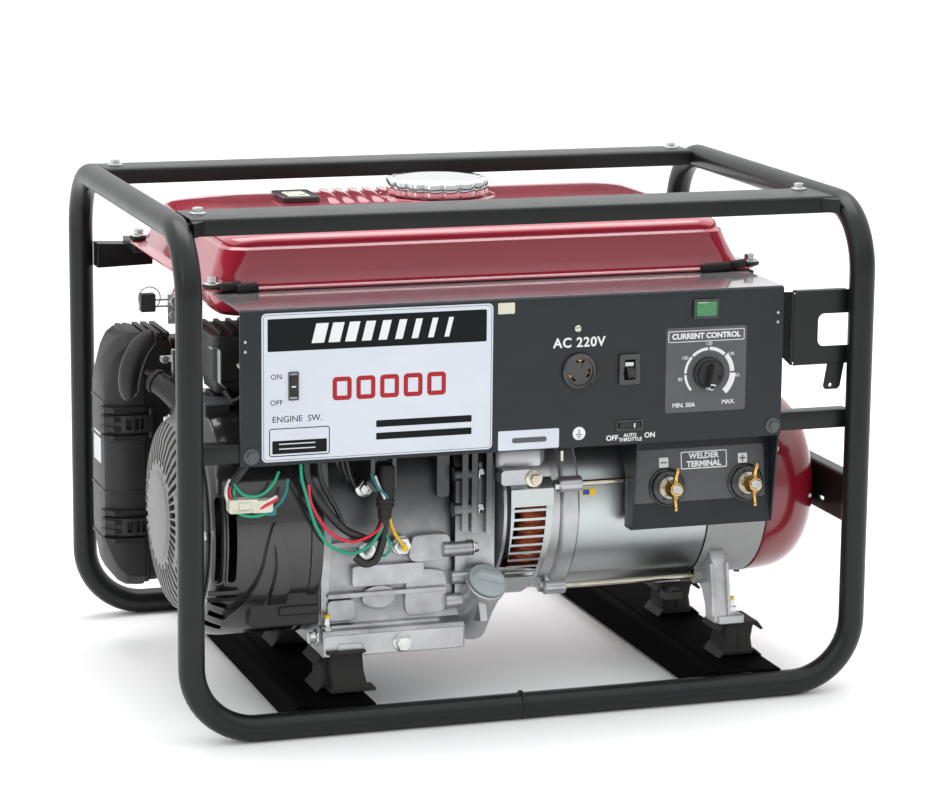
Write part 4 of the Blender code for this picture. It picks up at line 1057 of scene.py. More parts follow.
def terminal_box():
    low, high = TERM_LOW, TERM_HIGH
    thick = 2.0
    cheek = [(PANEL_Y + 1, high.z), (FACE_FOOT[0] - 1, low.z), (-221, low.z), (-221, 246), (-194, high.z)]
    shapes = [prism(cheek, "x", x, x + thick) for x in (low.x, high.x - thick)]
    shapes.append(
        loft(
            [
                [(x, y, z) for x, y in ((low.x, a), (high.x, a), (high.x, a + thick), (low.x, a + thick))]
                for z, a in ((FACE_FOOT[1], FACE_FOOT[0] - 0.6), (FACE_TOP[1], FACE_TOP[0]))
            ]
        )
    )
    shapes.append(block((low.x, high.x), (FACE_FOOT[0], -222), (low.z, low.z + thick)))
    piece("terminal_sheet", merged(*shapes), PANEL, edge=0.35, nodes=("terminal_box",))
    piece(
        "terminal_plate", face_plate((low.x + 4, high.x - 7.5), (214.5, high.z - 13), 3, 0.45, 0.7),
        GREY_PLATE, edge=0.15,
    )
    for side, x in zip(("negative", "positive"), (158.8, 248.5)):
        at = on_face(x, 230.5)
        post = [
            (0, 20), (1.2, 20.6), (2.4, 20), (3.2, 18.6), (6.4, 18.2), (8, 17), (8.6, 15.4), (8.6, 0),
            (0, 0),
        ]
        piece(
            f"insulator_{side}", lathe(post, 56, at, OUT), GLOSS, edge=0.3,
            nodes=(f"terminal_post_{side}",),
        )
        piece(f"washer_{side}", merged(
            disc(at, OUT, 11.5, 1.6, 8.6),
            disc(at, OUT, 9.4, 1.8, 10.1),
            lathe([(9, 0), (9, 4.6), (33.6, 4.6), (34.6, 3.8), (34.6, 0)], 32, at, OUT),
        ), ZINC, edge=0.2)
        threads = [lathe([(28 + i * 1.2, 4.4), (28.6 + i * 1.2, 5.0), (29.2 + i * 1.2, 4.4)], 28, at, OUT)
                   for i in range(4)]
        piece(f"stud_{side}", merged(*threads), ZINC)
        piece(
            f"hex_nut_{side}", merged(hexagon(at, OUT, 17, 6.6, 12.0, 10 if side == "negative" else 24)),
            BRASS, edge=0.4,
        )
        nut_body = f"wing_nut_{side}"
        hub = cut(
            lathe(
                [(19.2, 0), (19.2, 9.2), (20.4, 9.4), (27, 7.6), (30, 7.2), (30.6, 6.6), (30.6, 0)], 40, at,
                OUT,
            ),
            rod(10, 40, 5.2, 28, at, OUT),
        )
        up = Vector(ALONG_X).cross(OUT).normalized()
        up = up if up.z > 0 else -up
        wings = []
        for way in (1, -1):
            rings = []
            for reach, back, front, half in (
                    (5, 19.6, 29, 3.4), (9, 20.8, 28.6, 3.0), (13, 22.6, 29.0, 2.4), (17, 24.0, 31.2, 2.2),
                    (20, 25.4, 32.0, 2.2), (22.6, 27.6, 31.4, 1.6),
            ):
                middle, span = (back + front) / 2, (front - back) / 2
                ring = []
                for k in range(14):
                    t = math.tau * k / 14
                    ring.append(at + up * way * reach + OUT * (middle + span * math.cos(t))
                                + Vector(ALONG_X) * (half * math.sin(t) + way * 0.10 * (reach - 5)))
                rings.append(ring)
            wings.append(loft(rings))
        piece(f"wing_nut_{side}_brass", merged(hub, *wings), BRASS, nut_body, edge=0.2, angle=50,
              nodes=(f"wing_nut_{side}",))
    marks = [face_plate((x - 5.2, x + 5.2), (251.2, 261.6), 0.8, 0.65, 0.3) for x in (156.0, 246.0)]
    marks.append(
        cut(
            face_plate((175.5, 228), (248, 266.5), 1.2, 0.62, 0.25),
            loft(
                [
                    [on_face(u, v, o) for u, v in soft_box((176.6, 226.9), (249.1, 265.4), 0.8)]
                    for o in (-1, 2)
                ]
            ),
        )
    )
    marks.append(lettering("WELDER", 8.4, on_face(201.7, 261.3, 0.58), 1.05, 0.35, lean=-LEAN))
    marks.append(lettering("TERMINAL", 8.4, on_face(201.7, 252.9, 0.58), 1.0, 0.35, lean=-LEAN))
    piece("terminal_marks", merged(*marks), WHITE, angle=60)
    signs = [
        face_plate((152.4, 159.6), (255.7, 257.1), 0.2, 0.8, 0.3),
        face_plate((242.4, 249.6), (255.7, 257.1), 0.2, 0.8, 0.3),
        face_plate((245.3, 246.7), (252.8, 260.0), 0.2, 0.8, 0.3),
    ]
    piece("terminal_signs", merged(*signs), GREY_PLATE)


frame_pipes()
top_rails()
cross_members()
brackets()
for mount_name in (
        "mount_engine_front", "mount_engine_rear", "mount_alternator_front", "mount_alternator_rear",
):
    rubber_mount(mount_name)
panel_sheet()
panel_plates()
dial()
socket_and_switches()
terminal_box()


# ---------------------------------------------------------------- fuel tank
def rounded(xs, ys, radius, z, steps=12):
    """A ring with round corners at one height."""
    return [(u, v, z) for u, v in soft_box(xs, ys, radius, steps)]


def fuel_tank():
    levels = [
        (412.0, -290.0, 262.0, -108.0, 170.0, 30.0),
        (420.0, -300.0, 274.0, -120.0, 182.0, 34.0),
        (430.0, -304.0, 280.0, -128.0, 190.0, 36.0),
        (443.6, -308.0, 284.0, -138.0, 200.0, 38.0),
        (445.2, -320.8, 297.8, -148.8, 214.8, 25.0),
        (446.0, -321.9, 298.9, -149.9, 215.9, 26.0),
        (447.4, -321.9, 298.9, -149.9, 215.9, 26.0),
        (448.2, -320.6, 297.6, -148.6, 214.6, 25.0),
        (448.5, -312.5, 286.0, -147.4, 206.0, 26.0),
        (449.6, -309.6, 282.0, -146.3, 202.6, 26.0),
        (452.0, -308.2, 279.4, -145.0, 201.0, 26.0),
        (462.0, -304.5, 273.8, -142.2, 197.8, 26.5),
        (474.0, -299.8, 268.4, -139.4, 194.6, 27.5),
        (482.0, -296.6, 265.4, -137.4, 192.6, 28.2),
        (485.6, -295.6, 264.4, -136.8, 191.8, 28.4),
        (487.0, -293.8, 262.6, -135.2, 190.2, 28.6),
        (488.0, -292.2, 261.2, -133.9, 188.8, 29.0),
        (489.4, -291.9, 260.9, -133.6, 188.5, 29.0),
        (491.6, -291.3, 260.4, -133.1, 187.7, 29.2),
        (494.6, -289.2, 258.9, -131.5, 186.0, 29.6),
        (497.6, -284.0, 256.0, -126.6, 182.0, 31.5),
        (500.0, -275.0, 252.0, -119.0, 175.0, 35.0),
        (502.0, -264.0, 245.0, -110.0, 166.0, 39.0),
        (503.4, -252.0, 237.0, -100.0, 156.0, 42.0),
        (504.0, -238.0, 228.0, -88.0, 144.0, 44.0),
    ]
    shell = loft([rounded((a, b), (c, d), r, z) for z, a, b, c, d, r in levels])
    piece("tank_shell", shell, TANK, angle=26, nodes=("fuel_tank",))
    ribs = []
    for i in range(5):
        back = Vector((-104.9 + i * 16.9, 172.0, 503.6))
        front = Vector((-124.0 + i * 16.9, 50.0, 503.6))
        rings = []
        for share in (0, 0.02, 0.05, 0.5, 0.95, 0.98, 1):
            middle = back.lerp(front, share)
            tall = 1.7 if 0.03 < share < 0.97 else (0.9 if 0.01 < share < 0.99 else 0.1)
            rings.append([(middle.x + 6.4 * math.cos(t), middle.y, middle.z + tall * math.sin(t))
                          for t in [math.pi * k / 8 for k in range(9)]] + [(middle.x, middle.y, 503.0)])
        ribs.append(loft(rings))
    piece("tank_ribs", merged(*ribs), TANK, angle=50)
    neck = lathe(
        [(0, 30), (0, 52), (1.0, 53.2), (1.6, 50.0), (2.6, 46.0), (2.6, 30)], 96, (6, 92, 503.4), ALONG_Z,
    )
    dish = lathe([(0, 54), (0, 66), (0.7, 65), (1.2, 61), (0.7, 57), (0.4, 54)], 96, (6, 92, 503.6), ALONG_Z)
    piece("tank_neck", merged(neck, dish), TANK, angle=50)
    pads, bolts = [], []
    for x, y in ((-308.9, 207), (290, 207), (-308.9, -138), (288, -138)):
        pads.append(
            lathe(
                [(0, 0), (0, 9), (1, 10.6), (3, 11), (4.2, 10), (5, 8.6), (5, 0)], 32, (x, y, 448.0),
                ALONG_Z,
            )
        )
        bolts.append(hex_bolt((x, y, 452.6), ALONG_Z, 10, 9.2, 6))
    piece("tank_pads", merged(*pads), RUBBER, angle=40)
    piece("tank_bolts", merged(*bolts), ZINC, angle=25)
    label = loft(
        [
            [
                (-311.2 + (z - 449) * 0.38 - out, y, z)
                for y, z in ((20, 456), (60, 456), (60, 476), (20, 476))
            ]
            for out in (0.0, 0.5)
        ]
    )
    piece("tank_label_0", label, PALE_RED)
    clips = []
    for start, end in (((-304, -152, 450.5), (-281, -147, 451.5)), ((-288, -154, 449), (-264, -150, 449.5)),
                       ((226, -154, 449), (262, -148, 449.5)), ((262, -150, 450.5), (284, -140, 450.5))):
        path = [Vector(start).lerp(Vector(end), t) for t in (0, 0.06, 0.12, 0.88, 0.94, 1)]
        clips.append(tube(path, [3.2, 4.6, 5.2, 5.2, 4.6, 3.2], 20))
    for low, high in (((-306, -156, 441), (-264, -146, 445)), ((224, -156, 441), (286, -140, 445))):
        clips.append(block((low[0], high[0]), (low[1], high[1]), (low[2], high[2])))
    piece("tank_clips", merged(*clips), RUBBER, edge=0.6)


def fuel_cap():
    low, high = box_of("fuel_cap")
    at = ((low.x + high.x) / 2, (low.y + high.y) / 2, low.z)
    radius = 57.5

    def lobed(turn):
        return 1 - 0.075 * (1 - abs(math.cos(8 * turn)) ** 0.5)

    grip = lathe(
        [
            (1.4, 0), (1.4, radius - 1.8), (2.6, radius - 0.4), (4.2, radius), (16.5, radius),
            (18.0, radius - 0.8), (19.2, radius - 2.4), (19.8, radius - 5), (19.8, 0),
        ],
        256, at, ALONG_Z, lobed,
    )
    top = lathe(
        [
            (17.5, 0), (17.5, radius - 9), (19.9, radius - 9.6), (20.6, radius - 13), (21.0, radius - 24),
            (21.3, 0),
        ],
        128, at, ALONG_Z,
    )
    skirt = rod(0.2, 3.8, radius - 8, 96, at, ALONG_Z)
    piece("cap_shell", merged(grip, top, skirt), CHROME, "fuel_cap", angle=35, nodes=("fuel_cap",))
    low, high = box_of("fuel_gauge")
    body = prism(soft_box((low.x, high.x), (low.y, high.y), 5), "z", low.z, high.z - 1.2)
    rim = cut(
        prism(soft_box((low.x, high.x), (low.y, high.y), 5), "z", high.z - 1.4, high.z - 0.2),
        prism(soft_box((low.x + 7, high.x - 7), (low.y + 9, high.y - 9), 3), "z", high.z - 3, high.z + 3),
    )
    piece("gauge_body", merged(body, rim), GLOSS, edge=0.6, nodes=("fuel_gauge",))
    piece(
        "gauge_window",
        prism(
            soft_box((low.x + 9, high.x - 9), (low.y + 12, high.y - 12), 3), "z", high.z - 1.3,
            high.z - 0.7,
        ),
        NYLON, edge=0.2,
    )
    marks = [
        block((low.x + 13, low.x + 17), (y - 1, y + 1), (high.z - 0.8, high.z - 0.6)) for y in (82, 95, 108)
    ]
    marks.append(block((low.x + 22, high.x - 12), (84, 88), (high.z - 0.8, high.z - 0.6)))
    piece("gauge_marks", merged(*marks), INK)


# ---------------------------------------------------------------- engine end
AXIS = (0.0, -110.0, 206.0)


def shell_patch(radii, outline):
    """The part of a barrel wall, round the crank axis, that lies inside this (x, z) outline seen from -Y."""
    xs = [u for u, _ in outline]
    inner, outer = radii
    wall = lathe(
        [(min(xs) - 4, inner), (min(xs) - 4, outer), (max(xs) + 4, outer), (max(xs) + 4, inner)], 180, AXIS,
    )
    return combined(wall, [prism(outline, "y", AXIS[1] - outer - 20, AXIS[1] - 20)], "INTERSECT")


def recoil_cover():
    low, high = box_of("recoil_cover")
    foot = high.x - 0.2
    profile = [
        (foot, 105.5), (foot - 2.5, 106), (foot - 4.5, 105), (foot - 6, 102.5), (foot - 9, 101.5),
        (foot - 14, 98.5), (foot - 19, 92), (foot - 23, 82), (foot - 26, 66), (foot - 27.4, 52),
        (foot - 28.0, 46), (foot - 29.4, 44), (foot - 29.4, 0), (foot - 27.2, 0), (foot - 27.2, 42),
        (foot - 25.8, 46), (foot - 25.2, 52), (foot - 23.8, 65), (foot - 20.8, 80), (foot - 17, 89.5),
        (foot - 12, 95.5), (foot - 4, 98.5), (foot, 99),
    ]
    cover = lathe(profile, 144, AXIS)
    slots = []
    for i in range(46):
        angle = 360 * (i + 0.5) / 46
        facing = math.cos(math.radians(angle - 182))
        if facing > 0.80:
            reach, wide = (50, 68), 3.0
        else:
            reach, wide = (52 + 5 * (i % 2), 97), 2.7
        slot = prism(soft_box((reach[0], reach[1]), (-wide, wide), wide * 0.8, 3), "x", low.x - 6, foot - 2)
        slot = turned(slot, angle, "X", (0, 0, 0))
        slots.append(moved(slot, Matrix.Translation(AXIS)))
        if facing > 0.80:
            slot = prism(soft_box((74, 96), (-3.2, 3.2), 2, 3), "x", low.x - 6, foot - 2)
            slots.append(moved(turned(slot, angle, "X", (0, 0, 0)), Matrix.Translation(AXIS)))
    piece("recoil_shell", cut(cover, *slots), SILVER, edge=0.25, steps=1, angle=34, nodes=("recoil_cover",))
    cap = lathe(
        [(low.x + 0.05, 0), (low.x + 0.05, 37), (low.x + 0.5, 40), (low.x + 1.4, 40.6), (low.x + 1.4, 0)],
        72, (0, AXIS[1], AXIS[2]),
    )
    piece("recoil_disc", cap, DISC, angle=50)
    # Painted shade: an ink-black disc fills the back of the cover's inside, behind the fan fins, so the slots
    # show dark.
    dark = rod(-334.6, -333.8, 97, 96, AXIS)
    piece("recoil_shade_disc", dark, INK, "crank")
    hub = []
    for i in range(24):
        fin = block((-336.4, -334.6), (44, 90), (-2.0, 2.0))
        hub.append(moved(turned(fin, 15 * i, "X", (0, 0, 0)), Matrix.Translation(AXIS)))
    piece("fan_fins", merged(*hub), IRON, "crank", edge=0.4)
    bolts = [
        hex_bolt(
            (
                foot - 3, AXIS[1] + 103 * math.cos(math.radians(t)),
                AXIS[2] + 103 * math.sin(math.radians(t)),
            ),
            TO_LEFT, 8, 6.6, 4.5,
        )
        for t in (60, 180, 300)
    ]
    piece("recoil_bolts", merged(*bolts), ZINC, angle=25)


def recoil_grip():
    path = flowing([(-334, 18, 374), (-341, 18, 370.4), (-352, 18, 359), (-360.4, 18, 341), (-363.6, 18, 324),
                    (-363, 18, 311), (-360, 18, 305.4)], 6)
    count = len(path)
    radii = []
    for i in range(count):
        t = i / (count - 1)
        radii.append(2.5 + 9.6 * max(math.sin(math.pi * min(max(t, 0.0), 1.0)), 0.0) ** 0.42)
    grip = tube(path, radii, 28)
    piece("grip_body", grip, BLACK, "recoil_grip", angle=50, nodes=("recoil_grip",))
    seam = []
    for i in range(3, count - 3):
        ahead = (path[i + 1] - path[i - 1]).normalized()
        out = Vector((ahead.z, 0, -ahead.x)) * -1
        seam.append(path[i] + out * (radii[i] + 0.1))
    piece("grip_seam", tube(seam, 0.7, 8), BLACK, "recoil_grip")
    rope = tube([Vector((-348, 8, 336)), Vector((-342, 6, 333)), Vector((-337, 3, 329))], 2.6, 12)
    piece("pull_rope", rope, SLEEVE, "recoil_grip")


def fan_shroud():
    start, end = -333.0, -218.0
    radius = 130.0
    profile = [
        (start, 106.5), (start - 0.2, radius - 14), (start + 2, radius - 9.5), (start + 7, radius - 5),
        (start + 14, radius - 2), (start + 26, radius - 0.5), (start + 40, radius), (end - 14, radius),
        (end - 13, radius + 1.4), (end - 3, radius + 1.4), (end - 1, radius + 0.6), (end, radius - 1),
        (end, 40), (end - 3, 40), (end - 3, radius - 4), (start + 40, radius - 3), (start + 14, radius - 5),
        (start + 3, radius - 17), (start + 3, 106.5),
    ]
    barrel = lathe(profile, 128, AXIS)
    tools = [prism(soft_box((x, x + 8.6), (160, 250), 4.2), "y", -262, -190) for x in (-332.5, -318.5)]
    for i in range(3):
        z = 139 - i * 15
        tools.append(prism([(-330, z), (-313, z - 7), (-313, z - 13), (-330, z - 7)], "y", -262, -150))
    piece("shroud_barrel", cut(barrel, *tools), GLOSS, edge=0.3, steps=1, angle=35, nodes=("fan_shroud",))
    rims = []
    for x in (-332.5, -318.5):
        outer, inner = soft_box(
            (x - 2.2, x + 10.8), (157.5, 252.5), 6,
        ), soft_box((x, x + 8.6), (160, 250), 4.2)
        ring = shell_patch((126.5, 131.2), outer)
        rims.append(cut(ring, prism(inner, "y", -262, -190)))
    bars = [
        shell_patch((127, 132.4), soft_box((-338, -306), (146 - i * 8, 150.5 - i * 8), 1.6, 3))
        for i in range(2)
    ]
    piece("shroud_rims", merged(*rims, *bars), GLOSS, edge=0.5, angle=35)
    lobe = [
        (-318, 112), (-306, 98), (-292, 92), (-270, 98), (-256, 120), (-254, 160), (-262, 200), (-270, 222),
        (-278, 200), (-284, 168), (-296, 140),
    ]
    lobe = smooth_outline(lobe)
    body = shell_patch((129, 135.5), lobe)
    slit = prism(smooth_outline([(-274, 196), (-270, 196), (-268, 168), (-272, 138), (-278, 124), (-281, 126),
                                 (-276, 140), (-273, 168)]), "y", -262, -190)
    piece("shroud_lobe", cut(body, slit), GLOSS, edge=1.2, steps=3, angle=50)
    guide = flowing(
        [(-303, -50, 296), (-314, -34, 306), (-326, -16, 318), (-336, -4, 325), (-341, 2, 328)], 6,
    )
    count = len(guide)
    radii = [16 - 5.5 * i / (count - 1) for i in range(count)]
    collar = tube(
        guide[-6:],
        [
            radii[-6] + 1.8, radii[-5] + 2.2, radii[-4] + 2.2, radii[-3] + 1.6, radii[-2] + 1.8,
            radii[-1] + 1.2,
        ],
        28,
    )
    piece("rope_guide", merged(tube(guide, radii, 28), collar), BLACK, angle=45)
    cheek = [(-222.6, 106), (-222.6, 236), (-216, 268), (-186, 268), (-186, 106)]
    plate = prism(cheek, "x", -292, -218.6)
    web = prism([(-226, 118), (-226, 128), (-186, 128), (-186, 118)], "x", -262, -219)
    piece("shroud_cheek", merged(plate, web), BLACK, edge=2.5, steps=3, angle=20)
    label = prism(soft_box((-277.5, -232.5), (142.8, 177.6), 1.5), "y", -223.0, -222.4)
    piece("cheek_label", label, PALE)
    inner_label = merged(
        cut(
            prism(soft_box((-275.5, -234.5), (144.8, 175.6), 1.2), "y", -223.15, -222.9),
            prism(soft_box((-274.6, -235.4), (145.7, 174.7), 1.0), "y", -224, -222),
        ),
        *[
            prism(soft_box((-271 + i * 12, -263 + i * 12), (154, 168), 2.5), "y", -223.15, -222.9)
            for i in range(3)
        ],
        block((-272, -238), (-223.15, -222.9), (148.6, 150.2)),
    )
    piece("cheek_label_marks", inner_label, GREY_PLATE)
    small = prism(soft_box((-239.0, -224.5), (204, 210.4), 1), "y", -223.0, -222.4)
    piece("cheek_small_label", small, NYLON)


def smooth_outline(points):
    """A closed outline eased through these points."""
    steps = 5
    count = len(points)
    path = []
    for i in range(count):
        a, b, c, d = (Vector((*points[(i + k) % count], 0)) for k in (-1, 0, 1, 2))
        for s in range(steps):
            t = s / steps
            p = 0.5 * (
                2 * b + (c - a) * t + (2 * a - 5 * b + 4 * c - d) * t * t + (3 * b - a - 3 * c + d) * t**3
            )
            path.append((p.x, p.y))
    return path


def ignition_and_duct():
    low, high = box_of("ignition_unit")
    body = []
    for z, grow, r in (
            (337, -12, 8), (350, -10, 8), (352, -1, 10), (394, -2, 12), (398, 0, 12), (400, 0, 12),
    ):
        body.append(
            rounded((low.x - grow * 0.6, high.x + grow * 0.6), (low.y - grow, high.y + grow), r, z, 6)
        )
    cover = loft(body)
    ridges = []
    for i in range(6):
        x = low.x + 8 + i * 13
        ridges.append(prism(soft_box((low.y + 3, high.y - 3), (398, 403.8), 1.6, 3), "x", x, x + 4.5))
    piece("duct_cover", merged(cover, *ridges), BLACK, edge=0.8, angle=24, nodes=("ignition_unit",))
    strap = bent([(-316, -152, 389), (-306, -152, 389), (-306, -152, 352), (-300, -152, 346)], 4, 4)
    rings = []
    for i, p in enumerate(strap):
        ahead = (strap[min(i + 1, len(strap) - 1)] - strap[max(i - 1, 0)]).normalized()
        out = Vector((ahead.z, 0, -ahead.x))
        rings.append([p + out * 1 + Vector((0, 4, 0)), p + out * 1 - Vector((0, 7, 0)),
                      p - out * 1 - Vector((0, 7, 0)), p - out * 1 + Vector((0, 4, 0))])
    piece("cable_bracket", loft(rings), ZINC_SHEET, edge=0.4)
    box = prism(soft_box((-324, -298), (303, 332), 2.5), "y", -166, -120)
    piece("coil_box", box, BLACK, edge=1.0)
    plate = block((-326, -296), (-168, -118), (331, 333.5))
    piece("coil_lid", plate, GREY_PLATE, edge=0.8)
    piece(
        "coil_screw",
        merged(
            disc((-311, -166.2, 316), TO_FRONT, 3.4, 1.4), disc((-316, -166.2, 310), TO_FRONT, 1.6, 1.0),
        ),
        INK,
    )
    cable = tube(
        flowing(
            [(-287, -160, 372), (-283, -163, 362), (-280, -164, 350), (-286, -164, 338), (-300, -158, 330)]
        ),
        2.6, 14,
    )
    ring = lathe([(0, 3), (0, 5), (1.5, 5.6), (3, 5), (3, 3)], 24, (-285, -161.5, 368), (0.35, -0.3, 0.9))
    piece("stop_cable", cable, SLEEVE)
    piece("stop_ring", ring, NYLON, edge=0.3)
    hoses = [
        tube(
            flowing(
                [
                    (-296, -140, 340), (-288, -158, 320), (-292, -166, 300), (-300, -166, 280),
                    (-290, -150, 262),
                ]
            ),
            4.2, 16,
        ),
        tube(
            flowing([(-262, -168, 338), (-268, -178, 312), (-280, -176, 292), (-286, -160, 276)]), 3.0, 14,
        ),
        tube(
            flowing([(-242, -160, 332), (-246, -176, 310), (-240, -184, 282), (-236, -176, 262)]), 3.4, 14,
        ),
    ]
    piece("hoses", merged(*hoses), SLEEVE)


def air_cleaner():
    low, high = box_of("air_cleaner_cover")
    y0, y1 = low.y, high.y
    z0, z1 = low.z, high.z

    def ring(x, front, back, foot, top, cham):
        """One section of the cover with its four corners eased by a chamfer."""
        pts = [(front + cham, foot), (back - cham, foot), (back, foot + cham), (back, top - cham),
               (back - cham, top), (front + cham, top), (front, top - cham), (front, foot + cham)]
        out = []
        for i, (u, v) in enumerate(pts):
            a, b = pts[i - 1], pts[(i + 1) % len(pts)]
            for share in (0.18,):
                out.append((x, u + (a[0] - u) * share, v + (a[1] - v) * share))
                out.append((x, u + (b[0] - u) * share * 0.4, v + (b[1] - v) * share * 0.4))
        return out

    sections = [(-330, 0, 0, 0, 14), (-338, 0, 0, 0, 14), (-350, 0.5, 0.5, 1, 15), (-358, 2, 2, 5, 17),
                (-365, 5, 5, 13, 20), (-370.4, 10, 10, 22, 24), (-373, 14, 14, 30, 26)]
    body = loft([ring(x, y0 + f, y1 - b, z0 + h * 1.1, z1 - h * 1.3, c) for x, f, b, h, c in sections])
    steps = []
    for z in (184, 242, 128, 284):
        outline = [(-329.4, y0 - 1), (-350, y0 - 1), (-362.6, y0 + 3), (-369.4, y0 + 6), (-374.2, y0 + 14),
                   (-374.2, y1 - 14), (-361, y1 - 2), (-344, y1 + 1), (-329.4, y1 + 1)]
        steps.append(prism(outline, "z", z - 1.6, z + 1.6))
    piece("air_cover", merged(body, *steps), BLACK, edge=0.8, angle=22, nodes=("air_cleaner_cover",))
    case = []
    for x, grow in ((-329.6, 0), (-326, 0), (-325, -1.5), (-300, -3), (-297, -6), (-296, -9)):
        case.append(
            [
                (x, u, v)
                for u, v in soft_box((y0 + 3 - grow, y1 + grow), (z0 + 4 - grow, z1 - 4 + grow), 10, 5)
            ]
        )
    ribs = [
        prism(soft_box((y0 + 6, y1 - 6), (z1 - 6, z1 - 0.4), 2, 3), "x", x, x + 6)
        for x in (-326, -316, -306)
    ]
    snout = []
    for x, grow in ((-312, 0), (-268, 0), (-263, -2)):
        snout.append(
            [(x, u, v) for u, v in soft_box((112 - grow, 158 + grow), (308 - grow, 350 + grow), 12, 6)]
        )
    piece(
        "air_case", merged(loft(case), *ribs, loft(snout)), BLACK, edge=0.7, angle=24,
        nodes=("air_cleaner_body",),
    )
    top = [block((x, x + 6), (y0 + 14, y1 - 10), (z1 - 6, z1 - 0.4)) for x in (-346, -338)]
    piece("air_top_ribs", merged(*top), BLACK, edge=1.0)
    for name, z in (("upper", 262.0), ("lower", 146.0)):
        body_name = f"air_latch_{name}"
        strap = prism(
            [
                (-322, y0 - 1), (-322, y0 - 6.5), (-349, y0 - 7.0), (-366, y0 - 1), (-375.0, y0 + 7),
                (-376.4, y0 + 17), (-373.2, y0 + 17), (-371, y0 + 9), (-363, y0 + 2), (-348, y0 - 3),
            ],
            "z", z - 9.5, z + 9.5,
        )
        window = block((-352, -332), (y0 - 14, y0 + 8), (z - 6, z + 6))
        fins = []
        for k in range(4):
            zc = z - 15.6 + k * 10.4
            reach = 0 if k in (1, 2) else -24
            fins.append(
                prism(
                    [
                        (-354 - reach, y0 - 4), (-366, y0 - 4), (-375, y0 + 4), (-377.2, y0 + 15),
                        (-371, y0 + 20), (-356 - reach, y0 + 4),
                    ],
                    "z", zc - 2.7, zc + 2.7,
                )
            )
        pin = rod(z - 16.5, z + 16.5, 2.6, 20, (-324, y0 - 3.5, 0), ALONG_Z)
        bars = [
            block((-346, -342), (y0 - 8.2, y0 - 3), (z - 9, z + 9)),
            block((-338, -336), (y0 - 8.2, y0 - 3), (z - 9, z + 9)),
        ]
        piece(
            f"latch_{name}", merged(cut(strap, window), *fins, pin, *bars), BLACK, body_name, edge=0.5,
            angle=25, nodes=(body_name,),
        )
    label = block((-373.6, -372.9), (y0 + 30, y0 + 66), (212, 246))
    piece("air_label", label, PALE, edge=0.1)


def throttle():
    low, high = box_of("throttle_lever")
    body = "throttle_lever"
    knob = prism(soft_box((low.x, low.x + 16), (low.z, high.z), 1.5, 3), "y", low.y, low.y + 10)
    piece("throttle_knob", knob, BLACK, body, edge=0.7, nodes=("throttle_lever",))
    arms = [block((-346, -318), (-30.5, -28.9), (z, z + 2.2)) for z in (411.5, 418.6)]
    hub = disc((-322, -33, 417), ALONG_Y, 6.4, 10)
    piece("throttle_arms", merged(*arms, hub), ZINC, body, edge=0.2)
    ring = lathe([(0, 11.0), (0, 12.6), (0.8, 12.6), (0.8, 11.0)], 48, (-349, -21.5, 420.5), ALONG_Y)
    piece("throttle_ring", ring, PALE, body, edge=0.15)
    links = [
        block((-330, -314), (-24, -22), (392, 424)), disc((-324, -26, 402), ALONG_Y, 4, 4),
        tube(
            flowing(
                [(-324, -20, 424), (-318, -14, 430), (-308, -12, 418), (-306, -14, 398), (-312, -18, 384)]
            ),
            1.5, 10,
        ),
        tube(flowing([(-318, -24, 398), (-314, -22, 376), (-318, -12, 362), (-322, -2, 352)]), 1.3, 10),
        block((-334, -322), (-8, -2), (348, 354)), disc((-330, -8, 351), TO_FRONT, 4.2, 3),
        block((-323, -319), (-14, -8), (330, 362)),
    ]
    piece("throttle_links", merged(*links), ZINC, edge=0.4)


